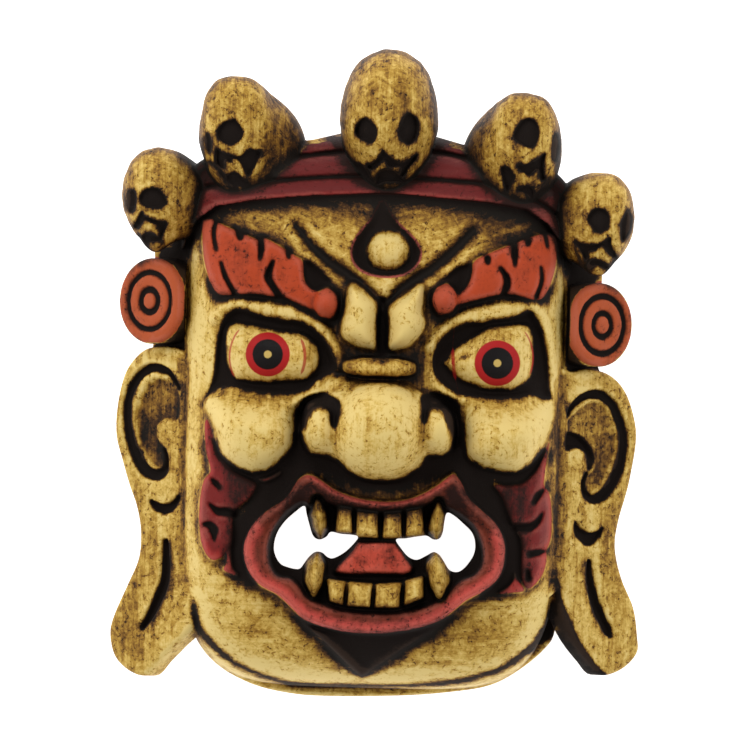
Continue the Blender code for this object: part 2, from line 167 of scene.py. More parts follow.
def rounded_up(one: Array, other: Array, reach: float) -> Array:
    """The higher of two surfaces, with the corner between them filled.

    Args:
        one: heights of the first.
        other: heights of the second.
        reach: how far apart they are where the fillet starts.

    Returns:
        The heights of both together.
    """
    share = unit(0.5 + (other - one) / (2 * max(reach, 1e-3)))
    return one + (other - one) * share + reach * share * (1 - share)


class Lattice:
    """A flat grid of points on which outlines become distances."""

    def __init__(self, across: Array, along: Array) -> None:
        """Keeps the places of the grid's rows and columns.

        Args:
            across: the places of its points along the first axis.
            along: the places of its points along the second axis.
        """
        self.x, self.y = across, along
        self.across, self.along = across[:, None], along[None, :]
        self.step = float(across[1] - across[0])
        self.shape = (len(across), len(along))

    def stroke(
        self, run: Run, widths: Sequence[float] = (0.0,), closed: bool = False, soft: bool = True
    ) -> Array:
        """Distances from a line of the given width, or from a closed outline.

        Args:
            run: the points of the line.
            widths: the line's width at even steps from its start to its end.
            closed: whether the run is an outline, with negative distances inside it.
            soft: whether the line is smooth through its points.

        Returns:
            A distance for each point of the lattice, at most FAR.
        """
        points = smooth(run, closed) if soft else np.array(run, np.float64)
        places = np.linspace(0.0, 1.0, len(points))
        halves = np.interp(places, np.linspace(0.0, 1.0, len(widths)), widths) / 2
        low, high = points.min(0) - FAR, points.max(0) + FAR
        i = slice(*np.searchsorted(self.x, (low[0], high[0])))
        j = slice(*np.searchsorted(self.y, (low[1], high[1])))
        x, y = self.x[i, None], self.y[None, j]
        nearest = np.full((x.shape[0], y.shape[1]), FAR, np.float32)
        within = np.zeros(nearest.shape, bool)
        last = np.roll(points, -1, 0) if closed else points[1:]
        for (ax, ay), (bx, by), one, two in zip(points, last, halves, np.roll(halves, -1)):
            dx, dy = bx - ax, by - ay
            share = unit(((x - ax) * dx + (y - ay) * dy) / (dx * dx + dy * dy + 1e-9))
            gap = np.hypot(x - ax - share * dx, y - ay - share * dy) - (one + share * (two - one))
            np.minimum(nearest, gap, out=nearest)
            if closed and ay != by:
                within ^= ((ay > y) != (by > y)) & (x < (bx - ax) * (y - ay) / (by - ay) + ax)
        nearest[within] *= -1
        full = np.full(self.shape, FAR, np.float32)
        full[i, j] = nearest
        return full

    def outline(self, run: Run, soft: bool = True) -> Array:
        """Distances from a closed outline, negative inside."""
        return self.stroke(run, closed=True, soft=soft)

    def oval(self, centre: Sequence[float], radii: Sequence[float], power: float = 2.0) -> Array:
        """Distances from a squared-off oval, negative inside.

        Args:
            centre: its middle.
            radii: its two radii.
            power: 2 for an ellipse, more for a squarer one.

        Returns:
            An even distance near its edge for each point of the lattice.
        """
        x, y = (self.across - centre[0]) / radii[0], (self.along - centre[1]) / radii[1]
        reach = (np.abs(x) ** power + np.abs(y) ** power + 1e-9) ** (1 / power)
        slope = np.hypot(*(
            (np.abs(one) / reach) ** (power - 1) / radius for one, radius in zip((x, y), radii)
        ))
        return np.clip((reach - 1) / np.maximum(slope, 1e-3), -60.0, FAR).astype(np.float32)

    def noise(self, size: float, seed: int, stretch: float = 1.0) -> Array:
        """Smooth unevenness between -1 and 1.

        Args:
            size: the distance between its highs and lows across the lattice.
            seed: which unevenness.
            stretch: how much longer it is along the lattice.

        Returns:
            A value for each point of the lattice.
        """
        rng = np.random.default_rng(seed)
        sizes = (size, size * stretch)
        places = [(axis - axis[0]) / one for axis, one in zip((self.x, self.y), sizes)]
        knots = rng.uniform(-1, 1, [int(place[-1]) + 3 for place in places])
        (i, u), (j, v) = ((place.astype(int), place % 1.0) for place in places)
        u, v = (share * share * (3 - 2 * share) for share in (u, v))
        rows = knots[i] * (1 - u)[:, None] + knots[i + 1] * u[:, None]
        return (rows[:, j] * (1 - v) + rows[:, j + 1] * v).astype(np.float32)

    def sample(self, values: Array, x: Array, y: Array) -> Array:
        """Values between the points of the lattice.

        Args:
            values: one value for each point of the lattice, or several.
            x: places across.
            y: places along.

        Returns:
            The values at those places.
        """
        u = np.clip((x - self.x[0]) / self.step, 0, self.shape[0] - 1.001)
        v = np.clip((y - self.y[0]) / self.step, 0, self.shape[1] - 1.001)
        i, j = u.astype(np.int32), v.astype(np.int32)
        u, v = u - i, v - j
        if values.ndim > 2:
            u, v = u[..., None], v[..., None]
        near = values[i, j] * (1 - v) + values[i, j + 1] * v
        far = values[i + 1, j] * (1 - v) + values[i + 1, j + 1] * v
        return near * (1 - u) + far * u


def soften(values: Array, reach: float, times: int = 3) -> Array:
    """Averages each value with those round it, several times.

    Args:
        values: the values of a lattice.
        reach: points to each side that count.
        times: how many times.

    Returns:
        The softened values.
    """
    count = max(1, round(reach))
    for _ in range(times):
        for axis in (0, 1):
            pad = [(0, 0), (0, 0)]
            pad[axis] = (count + 1, count)
            total = np.cumsum(np.pad(values, pad, mode="edge"), axis=axis, dtype=np.float64)
            size = values.shape[axis]
            upper = np.take(total, range(2 * count + 1, size + 2 * count + 1), axis)
            lower = np.take(total, range(size), axis)
            values = ((upper - lower) / (2 * count + 1)).astype(np.float32)
    return values


class Tint(Enum):
    """The red paints, as linear colours."""

    BROW = (0.46, 0.062, 0.020)
    DISC = (0.45, 0.088, 0.028)
    BAND = (0.140, 0.018, 0.017)
    BAND_EDGE = (0.30, 0.033, 0.031)
    LEAF = (0.175, 0.016, 0.014)
    LEAF_EDGE = (0.36, 0.026, 0.022)
    LIP = (0.190, 0.034, 0.018)
    LIP_EDGE = (0.55, 0.075, 0.058)
    TONGUE = (0.62, 0.085, 0.050)
    GEM = (0.45, 0.10, 0.08)


class Panel(Lattice):
    """The front of the head: how far each column is raised, and what paint is on it."""

    def __init__(self, head: "HeadBlock") -> None:
        """Starts with bare, even wood.

        Args:
            head: the block that the panel lies on.
        """
        across, along, up = (np.arange(low, high, STEP, dtype=np.float32) for low, high in SPAN)
        super().__init__(across, along)
        self.z = up
        self.base = head.height(self.across, self.along)
        self.lift, self.tops, self.level = (np.zeros(self.shape, np.float32) for _ in range(3))
        self.black, self.red = (np.full(self.shape, FAR, np.float32) for _ in range(2))
        self.fade = np.full(self.shape, 7.0, np.float32)
        # How dark the brown is at each point: stain, and in places painted shade.
        self.wash = np.full(self.shape, 0.22, np.float32)
        self.tint = np.zeros((*self.shape, 3), np.float32)
        self.tint[:] = Tint.BAND.value

    def raise_to(self, inside: Array, lift: Array | float) -> None:
        """Brings the wood to a lift over the block, as far as each point is inside."""
        self.lift += (lift - self.lift) * inside

    def level_to(self, inside: Array, top: Array | float) -> None:
        """Brings the wood to a height over the back plane, as far as each point is inside."""
        self.raise_to(inside, top - self.base)

    def swell(
        self, centre: Sequence[float], radii: Sequence[float], heights: Sequence[float],
        power: float = 2.0, fillet: float = 0.0,
    ) -> None:
        """Joins a rounded mass to the face.

        Args:
            centre: its middle.
            radii: its two radii.
            heights: the height of its widest part and of its top, over the back plane.
            power: 2 for an ellipsoid, more for a squarer one.
            fillet: how far the corner with the wood round it is filled.
        """
        x, y = (self.across - centre[0]) / radii[0], (self.along - centre[1]) / radii[1]
        reach = np.abs(x) ** power + np.abs(y) ** power
        low, high = heights
        top = low + (high - low) * unit(1 - reach) ** (1 / power)
        top = np.where(reach < 1, top, -99)
        self.lift = rounded_up(self.lift, top - self.base, fillet).astype(np.float32)

    def mound(self, edge: Array, width: float, lift: Array | float, soft: float = 1.0) -> None:
        """Raises what is inside an outline into a rounded mass.

        Args:
            edge: distances from the outline.
            width: how far in it levels off.
            lift: how high it stands over the block there.
            soft: how far its unevenness is evened out.
        """
        rise = soften(bulge(edge, width), soft / self.step, 2) * lift
        self.raise_to(ramp(edge - 0.4, 1.2), np.maximum(self.lift, rise))

    def cut(self, distance: Array, depth: float, edge: float = 1.6) -> None:
        """Cuts a groove or a pocket below the wood round it."""
        self.lift -= depth * ramp(distance, edge)

    def blacken(self, distance: Array) -> None:
        """Paints a zone black, where its distances are negative."""
        self.black = np.minimum(self.black, distance)

    def clean(self, distance: Array, red: bool = True) -> None:
        """Keeps black, and red too unless told otherwise, off a zone.

        Args:
            distance: distances from the zone's outline.
            red: whether red is kept off as well.
        """
        self.black = np.maximum(self.black, -distance)
        if red:
            self.red = np.maximum(self.red, -distance)

    def redden(
        self, distance: Array, tint: Tint, edge: Tint | None = None,
        worn: Array | float = 2.0,
    ) -> None:
        """Paints a zone red, where its distances are negative.

        Args:
            distance: distances from its outline.
            tint: its paint.
            edge: the paint along its outline, if that differs.
            worn: how far in that reaches.
        """
        nearer = distance < self.red
        colour = np.array(tint.value, np.float32)
        if edge:
            share = ramp(-distance - worn, 2.4)[..., None]
            colour = (colour + (np.array(edge.value) - colour) * share)[nearer]
        self.tint[nearer] = colour
        self.red = np.minimum(self.red, distance)

    def stain(self, distance: Array, fade: float, amount: float) -> None:
        """Darkens a zone or lightens it, fading out over some distance from its edge: stain, and
        painted shade in places.
        """
        self.wash += amount * unit(1 - np.maximum(distance, 0) / fade) ** 2

    def feather(self, distance: Array, fade: float, level: float | None = None) -> None:
        """Sets how far black is brushed out in a zone, and which way it is brushed.

        Args:
            distance: distances from the zone's outline.
            fade: how far the black fades out into the paint beside it.
            level: 0 for brushed along the face, 1 for brushed across it.
        """
        self.fade[distance < 0] = fade
        if level is not None:
            self.level[distance < 0] = level


class Block:
    """The wood as a field of distances from its surface, negative inside."""

    keep = 5e-8  # how strongly the thinner spares what is outside its group
    back_depth = 12.0  # wood this far below the top of its column is the back
    side_depth = 3.0  # and this far below, it has no painted edge to keep sharp
    edge_zone = 1.1  # how near a painted edge the mesh is kept fine
    back_share = 0.8  # how much of the back is thinned away

    def __init__(self, panel: Panel) -> None:
        """Starts with no wood.

        Args:
            panel: the lattice of columns, whose z gives the places along each.
        """
        self.panel = panel
        self.reach = 3 * STEP
        self.field = np.full((*panel.shape, len(panel.z)), self.reach, np.float32)

    def window(self, low: Sequence[float], high: Sequence[float]) -> tuple[tuple, tuple]:
        """The part of the lattice in a box.

        Args:
            low: the box's lowest corner.
            high: its highest corner.

        Returns:
            Its slices, and its x, y and z as open arrays.
        """
        axes = (self.panel.x, self.panel.y, self.panel.z)
        where = tuple(slice(*np.searchsorted(a, ends)) for a, *ends in zip(axes, low, high))
        x, y, z = (axis[part] for axis, part in zip(axes, where))
        return where, (x[:, None, None], y[None, :, None], z[None, None, :])

    def join(self, where: tuple, distance: Array) -> None:
        """Adds a solid to the wood."""
        part = self.field[where]
        np.minimum(part, distance, out=part)

    def cut(self, where: tuple, distance: Array) -> None:
        """Cuts a solid from the wood."""
        part = self.field[where]
        np.maximum(part, -distance, out=part)

    def find_tops(self) -> None:
        """Notes the height of the highest wood in each column of the panel, or 0."""
        solid = self.field < 0
        upper = len(self.panel.z) - 1 - np.argmax(solid[:, :, ::-1], axis=2)
        found = solid.any(axis=2)
        upper = np.where(found, np.minimum(upper, len(self.panel.z) - 2), 0)
        here, above = (
            np.take_along_axis(self.field, (upper + k)[..., None], 2)[..., 0] for k in (0, 1)
        )
        part = unit(-here / np.maximum(above - here, 1e-6))
        tops = np.where(found, self.panel.z[upper] + part * STEP, 0)
        self.panel.tops = tops.astype(np.float32)

    def mesh(self, name: str) -> bpy.types.Object:
        """Makes the wood's surface a mesh object, in metres, with its back the coarser.

        Args:
            name: the object's name.

        Returns:
            The object, with no materials.
        """
        grid = openvdb.FloatGrid(self.reach)
        np.clip(self.field, -self.reach, self.reach, out=self.field)
        grid.copyFromArray(self.field, tolerance=1e-6)
        points, quads = grid.convertToQuads(0.0)
        points, quads = largest_body(points, quads.astype(np.int64))
        low = np.array([axis[0] for axis in (self.panel.x, self.panel.y, self.panel.z)])
        points = points * STEP + low
        dense = mesh_object(f"{name}_dense", points * MM, quads)
        tops = self.panel.sample(self.panel.tops, points[:, 0], points[:, 1])
        hidden = np.flatnonzero(points[:, 2] < tops - self.back_depth)
        panel = self.panel
        edges = np.minimum(np.abs(panel.black), np.abs(panel.red))
        plain = panel.sample(edges, points[:, 0], points[:, 1]) > self.edge_zone
        plain |= points[:, 2] < tops - self.side_depth
        for group, held, weight in (
            ("back", hidden, 1.0), ("plain", np.arange(len(points)), 0.5),
            ("plain", np.flatnonzero(plain), 1.0),
        ):
            layer = dense.vertex_groups.get(group) or dense.vertex_groups.new(name=group)
            layer.add(held.tolist(), weight, "REPLACE")
        total, spare = 2 * len(quads), 2 * len(hidden) * self.back_share
        LOG.info("%d triangles, %d of them at the back", total, 2 * len(hidden))
        for group, before, after in (
            ("back", total, total - spare), ("plain", total - spare, min(TRIANGLES, total - spare)),
        ):
            thinner = dense.modifiers.new("thinner", "DECIMATE")
            thinner.vertex_group = group
            thinner.vertex_group_factor = self.keep
            thinner.ratio = after / before
        return as_plain_mesh(dense, name)


def largest_body(points: Array, faces: Array) -> tuple[Array, Array]:
    """Leaves out the chips and bubbles that the cuts leave loose.

    Args:
        points: the mesh's points.
        faces: its faces, as rows of places in points.

    Returns:
        The points and the faces of its largest body.
    """
    ends = np.concatenate([faces[:, k : k + 2] for k in range(faces.shape[1] - 1)])
    body = np.arange(len(points))
    while True:
        one, other = body[ends[:, 0]], body[ends[:, 1]]
        if (one == other).all():
            break
        parent = np.arange(len(points))
        np.minimum.at(parent, np.maximum(one, other), np.minimum(one, other))
        while (parent[parent] != parent).any():
            parent = parent[parent]
        body = parent[body]
    held = body == np.bincount(body).argmax()
    places = np.cumsum(held) - 1
    LOG.info("%d points in loose chips left out", len(points) - held.sum())
    return points[held], places[faces[held[faces[:, 0]]]].astype(np.int32)


def mesh_object(name: str, points: Array, faces: Array) -> bpy.types.Object:
    """A mesh object of faces that all have as many corners.

    Args:
        name: its name.
        points: places of its vertices, in metres.
        faces: the vertices of each face.

    Returns:
        The object, linked to the scene.
    """
    data = bpy.data.meshes.new(name)
    data.vertices.add(len(points))
    data.vertices.foreach_set("co", points.astype(np.float32).ravel())
    data.loops.add(faces.size)
    data.loops.foreach_set("vertex_index", faces.astype(np.int32).ravel())
    data.polygons.add(len(faces))
    starts = np.arange(len(faces), dtype=np.int32) * faces.shape[1]
    data.polygons.foreach_set("loop_start", starts)
    data.update(calc_edges=True)
    data.validate()
    made = bpy.data.objects.new(name, data)
    bpy.context.scene.collection.objects.link(made)
    return made


def as_plain_mesh(source: bpy.types.Object, name: str) -> bpy.types.Object:
    """Replaces an object by a plain mesh of what its modifiers make.

    Args:
        source: the object, which is removed.
        name: the new object's name.

    Returns:
        The new object.
    """
    graph = bpy.context.evaluated_depsgraph_get()
    data = bpy.data.meshes.new_from_object(source.evaluated_get(graph))
    data.name = name
    bpy.data.objects.remove(source)
    made = bpy.data.objects.new(name, data)
    bpy.context.scene.collection.objects.link(made)
    return made


@dataclass
class HeadBlock:
    """The flattened dome of the head, the rim round its back and the hollow inside it."""

    centre: tuple[float, float] = (-4.2, -19.5)
    radii: tuple[float, float, float] = (96.0, 138.0, 75.0)
    outline_power: float = 4.8
    dome_power: float = 4.0
    steepest: float = 0.985
    wall: float = 15.0
    rim: Run = path("""
        -97,0 -97,-60 -95,-105 -91,-126 -87.5,-135 -79.5,-147.3 -61.5,-157 -41.5,-161.3 -21.5,-162.2
        13.5,-161 38.5,-158.5 58.5,-154.6 73,-146.5 85.5,-135.5 90.5,-126 91,-105 91,-60 91,0 90,60
        84,92 60,108 23,118 0,120 -22,118 -60,108 -90,92 -96,60
    """)
    rim_depth: float = 14.0
    rim_round: float = 2.5
    uneven: float = 0.35

    def height(self, x: Array, y: Array) -> Array:
        """The dome's height over the back plane, with its side taken as upright.

        Args:
            x: places across.
            y: places along.

        Returns:
            A height for each pair of them.
        """
        across = np.abs((x - self.centre[0]) / self.radii[0]) ** self.outline_power
        along = np.abs((y - self.centre[1]) / self.radii[1]) ** self.outline_power
        reach = np.minimum((across + along) ** (1 / self.outline_power), self.steepest)
        rise = (1 - reach**self.dome_power) ** (1 / self.dome_power)
        return (self.radii[2] * rise).astype(np.float32)

    def dome(
        self, axes: tuple[Array, Array, Array], lift: Array, step: float, proud: float = 0.0
    ) -> Array:
        """Distances from the dome, whose front is raised by a lift for each column.

        Args:
            axes: x, y and z as open arrays.
            lift: how far each column is raised.
            step: the distance between columns.
            proud: how far the surface stands out from the block's own.

        Returns:
            A distance for each point, negative inside.
        """
        wide, tall, deep = (radius + proud for radius in self.radii)
        x, y = (axes[0] - self.centre[0]) / wide, (axes[1] - self.centre[1]) / tall
        power = self.outline_power
        both = np.abs(x) ** power + np.abs(y) ** power + 1e-6
        share = self.dome_power / power
        slope = share * both ** (share - 1) * power
        lean_x, lean_y = (grad[:, :, None] / deep for grad in np.gradient(lift, step))
        rise = (axes[2] - lift[:, :, None]) / deep
        cube = rise**3
        reach = np.maximum(both**share + cube * rise, 1e-5)
        cube *= self.dome_power
        slope_x = slope * np.abs(x) ** (power - 1) * np.sign(x) / wide - cube * lean_x
        slope_y = slope * np.abs(y) ** (power - 1) * np.sign(y) / tall - cube * lean_y
        steep = np.sqrt(slope_x**2 + slope_y**2 + (cube / deep) ** 2)
        size = np.sqrt(np.sqrt(reach))
        return self.dome_power * (reach / size) * (size - 1) / np.maximum(steep, 1e-6)

    def carve(self, block: Block) -> None:
        """Joins the dome, as the panel raises it, and the rim to the wood.

        Args:
            block: the wood.
        """
        panel = block.panel
        coarse, fine = panel.noise(17, seed=3, stretch=1.4), panel.noise(7, seed=5, stretch=1.8)
        panel.lift += self.uneven * (coarse + 0.6 * fine)
        axes = (panel.x[:, None, None], panel.y[None, :, None], panel.z[None, None, :])
        block.join((...,), self.dome(axes, panel.lift, STEP))
        edge, above = panel.outline(self.rim)[:, :, None], axes[2] - self.rim_depth
        block.join((...,), rounded_slab(edge, above, self.rim_depth, self.rim_round))

    def hollow(self, block: Block, marks: Array) -> None:
        """Cuts the hollow and all below the back plane from the wood.

        Args:
            block: the wood.
            marks: distances from the gouge marks on the hollow's wall.
        """
        panel = block.panel
        axes = (panel.x[:, None, None], panel.y[None, :, None], panel.z[None, None, :] + 1)
        flat = np.zeros(panel.shape, np.float32)
        hollow = self.dome(axes, flat, STEP, -self.wall)
        block.cut((...,), np.minimum(hollow, marks))
        block.cut((...,), axes[2] - 1)

    def in_hollow(self, points: Array) -> Array:
        """Whether each point, in millimetres, is in the hollow or on its wall.

        Args:
            points: places, as rows of x, y and z.

        Returns:
            True for each point that is.
        """
        wide, tall, deep = (radius - self.wall + 2.5 for radius in self.radii)
        x, y = (points[:, 0] - self.centre[0]) / wide, (points[:, 1] - self.centre[1]) / tall
        flat = (np.abs(x) ** self.outline_power + np.abs(y) ** self.outline_power)
        flat **= self.dome_power / self.outline_power
        return flat + np.abs(points[:, 2] / deep) ** self.dome_power < 1


def rounded_slab(edge: Array, above: Array, thickness: float, radius: float) -> Array:
    """Distances from a slab with rounded edges.

    Args:
        edge: distances from its outline.
        above: distances above its front.
        thickness: how thick it is.
        radius: the radius of its edges.

    Returns:
        Distances, negative inside.
    """
    flat = np.maximum(above, -above - thickness) + radius
    side = edge + radius
    outside = np.hypot(np.maximum(flat, 0), np.maximum(side, 0))
    return outside + np.minimum(np.maximum(flat, side), 0) - radius


@dataclass
class ForeheadBand:
    """The ribbed band round the top of the forehead."""

    proud: float = 3.6
    lower: Run = path("""
        -103,58 -100.5,62 -99,68 -94,75.5 -85.5,82 -66.5,85.5 -38.5,88.5 -6,90.5 7,90.5 29,89
        51,87.5 70.5,84.5 80.5,78 87.5,69 91.5,60 96,56
    """)
    grooves: tuple[Run, ...] = paths("""
        -104,68 -102,78 -97,86 -88.6,92 -56,95.5 -30,98 -6.5,99 17.5,98.5 53.5,96 76.5,88 87.5,79
        92,66
        / -103,84 -99,91 -91.5,100 -70,104.5 -48.5,107.5 -22,111 0,112.5 23.5,112 36.5,110 60,104.5
        81.5,97.5 90.5,90
    """)
    squareness: float = 5.6
    crown: Run = path("""
        -200,150 -75,125 -52,114.5 -37,116.9 -22,121 0,122.8 23,120.3 37,116.5 50,114 75,125 200,150
        0,400
    """)
    worn: tuple[tuple[float, float], ...] = ((-38.5, 117.0), (38.0, 116.2))
    corners: tuple[Run, ...] = paths("""
        -80,80 -99,80 -100,99 -96.5,102.5 -91,106 -80,108
        / 74,80 93,80 93,94 90.5,97.5 83,104.5 74,106
    """)
    corner_top: float = 48.0
    groove_widths: tuple[float, float] = (2.0, 2.0)
    groove_depth: float = 2.6

    def region(self, panel: Panel) -> Array:
        """Distances from the zone above the band's lower edge."""
        corners = ((150, 56), (150, 190), (-150, 190), (-150, 58))
        return panel.outline((*self.lower, *corners), soft=False)

    def carve(self, block: Block, head: HeadBlock) -> None:
        """Joins the band to the wood.

        Args:
            block: the wood.
            head: the block that the band lies on.
        """
        panel = block.panel
        where, axes = block.window((-200, 48, -20), (200, 200, 200))
        lift = np.zeros(panel.shape, np.float32)
        for run in self.grooves:
            groove = panel.stroke(run, self.groove_widths)
            lift -= self.groove_depth * ramp(groove, 2.2) + 0.8 * ramp(groove - 2.5, 5.0)
        region = self.region(panel)
        lift += 0.35 * panel.noise(9, seed=11)
        flat = np.zeros(panel.shape, np.float32)[where[:2]]
        squarer = replace(head, outline_power=self.squareness)
        dome = squarer.dome(axes, flat, STEP, self.proud) - lift[where[:2]][:, :, None]
        block.join(where, rounded_up(dome, region[where[:2]][:, :, None], 2.0))
        for corner in self.corners:
            edge = panel.outline(corner)[where[:2]][:, :, None]
            block.join(where, rounded_slab(edge, axes[2] - self.corner_top, 40.0, 5.0))
        block.cut((...,), panel.outline(self.crown, soft=False)[:, :, None])

    def paint(self, panel: Panel) -> None:
        """Paints the band maroon, its grooves black and the forehead below it dark.

        Args:
            panel: the front of the head.
        """
        region = self.region(panel)
        panel.feather(region, fade=4.5, level=1.0)
        panel.redden(region - 0.6, Tint.BAND, Tint.BAND_EDGE, 1.8)
        for run in self.grooves:
            panel.blacken(panel.stroke(run, self.groove_widths) + 0.3)
        for place in self.worn:
            panel.clean(panel.oval(place, (8.0, 2.2)))
        panel.feather(np.abs(region - 6.5) - 6.5, fade=5.0, level=0.8)
        panel.blacken(np.abs(region - 1.9) - 1.3)


@dataclass
class Skull:
    """One skull of the crown: its face, the crown of the head behind it, and what is cut in it."""

    centre: tuple[float, float, float]
    radii: tuple[float, float, float]
    holes: tuple[Run, ...]
    cuts: tuple[Line, ...] = ()
    back: tuple[float, float, float] = (0.0, 126.5, 50.0)
    back_radii: tuple[float, float, float] = (20.0, 30.0, 30.0)
    power: float = 2.2
    taper: float = 0.5
    taper_power: float = 1.5
    depth: float = 3.2
    blend: float = 12.0
    lean: float = 0.0
    stain: float = 0.28
    # How much darker the side towards the skull's back is painted, on its lower part, as shade.
    turned: float = 0.0

    def distance(self, x: Array, y: Array, z: Array) -> Array:
        """Distances from the skull before anything is cut in it.

        Args:
            x: places across.
            y: places along.
            z: places above the back plane.

        Returns:
            A distance for each, negative inside.
        """
        x = x - self.lean * (y - self.centre[1])
        low_share = np.maximum(0, (self.centre[1] - y) / self.radii[1]) ** self.taper_power
        narrow = 1 - self.taper * np.minimum(low_share, 1.3)
        face = [(x - self.centre[0]) / narrow, y - self.centre[1], (z - self.centre[2]) / narrow]
        behind = [axis - middle for axis, middle in zip((x, y, z), self.back)]
        found = []
        for offsets, radii, power in (
            (face, self.radii, self.power), (behind, self.back_radii, 2.1),
        ):
            powers = [np.abs(one / radius) for one, radius in zip(offsets, radii)]
            size = (sum(one**power for one in powers) + 1e-9) ** (1 / power)
            steep = np.sqrt(sum(
                ((one / size) ** (power - 1) / radius) ** 2 for one, radius in zip(powers, radii)
            ))
            found.append((size - 1) / np.maximum(steep, 1e-3))
        return -rounded_up(-found[0], -found[1], self.blend)

    def carve(self, block: Block) -> None:
        """Joins the skull to the wood, with its sockets, nose and mouth cut into it.

        Args:
            block: the wood.
        """
        panel = block.panel
        ends = [
            (c - r - 3, c + r + 3)
            for c, r in (*zip(self.centre, self.radii), *zip(self.back, self.back_radii))
        ]
        low, high = (
            [pick(ends[i][k], ends[i + 3][k]) for i in range(3)] for k, pick in ((0, min), (1, max))
        )
        where, axes = block.window(low, high)
        distance = self.distance(*axes)
        depth = np.zeros(panel.shape, np.float32)
        for hole in self.holes:
            depth = np.maximum(depth, self.depth * ramp(panel.outline(hole) + 0.3, 1.4))
        for run, widths in self.cuts:
            depth = np.maximum(depth, 0.5 * self.depth * ramp(panel.stroke(run, widths), 1.4))
        rim = np.maximum(panel.oval(self.centre[:2], self.radii[:2], self.power), -FAR)
        depth *= unit(-(rim + 2.0) / 5.0)
        depth += 0.35 * panel.noise(9, seed=21) + 0.25 * panel.noise(4, seed=22)
        front = axes[2] > self.centre[2] - 0.6 * self.radii[2]
        block.join(where, distance + depth[where[:2]][:, :, None] * front)

    def paint(self, panel: Panel) -> None:
        """Takes the band's paint off the skull, blackens its holes, mottles its wood and paints
        shade on its sides and on the wood beside it.

        Args:
            panel: the front of the head.
        """
        held = self.distance(panel.across, panel.along, panel.tops) < 0.9
        rim = panel.oval(self.centre[:2], self.radii[:2], self.power)
        free = (held | ((panel.tops <= 0) & (rim < 14))).astype(np.float32)
        own = (0.5 - soften(free, 1.6 / panel.step)) * 10
        panel.clean(own)
        panel.feather(own, fade=2.4, level=0.0)
        for hole in self.holes:
            panel.blacken(np.maximum(panel.outline(hole) + 0.1, own))
        for run, widths in self.cuts:
            panel.blacken(np.maximum(panel.stroke(run, widths) + 0.3, own))
        # Painted shade: darker towards the skull's outline, where its sides turn away, and on the
        # lower part of the side towards its back.
        side = unit((rim + 6.0) / 8.0)
        far = (0.5 - soften(free, 4.5 / panel.step)) * 26
        turned = (panel.across - self.centre[0]) / self.radii[0] * self.turned
        own_stain_and_shade = self.stain + 0.04 * side + 0.46 * unit(1 + far / 11) ** 1.3
        own_stain_and_shade += 0.7 * np.clip(turned - 0.1, 0, 0.3) * ramp(panel.y - self.centre[1] - 2, 10)
        # Painted shade on the wood just outside the skull, where it meets the band.
        beside = 0.8 * unit(1 - np.maximum(far, 0) / 9) ** 1.5 * ramp(rim - 9, 6)
        beside *= ramp(45 - panel.along, 3)
        panel.wash += np.where(own < 0, own_stain_and_shade, beside)


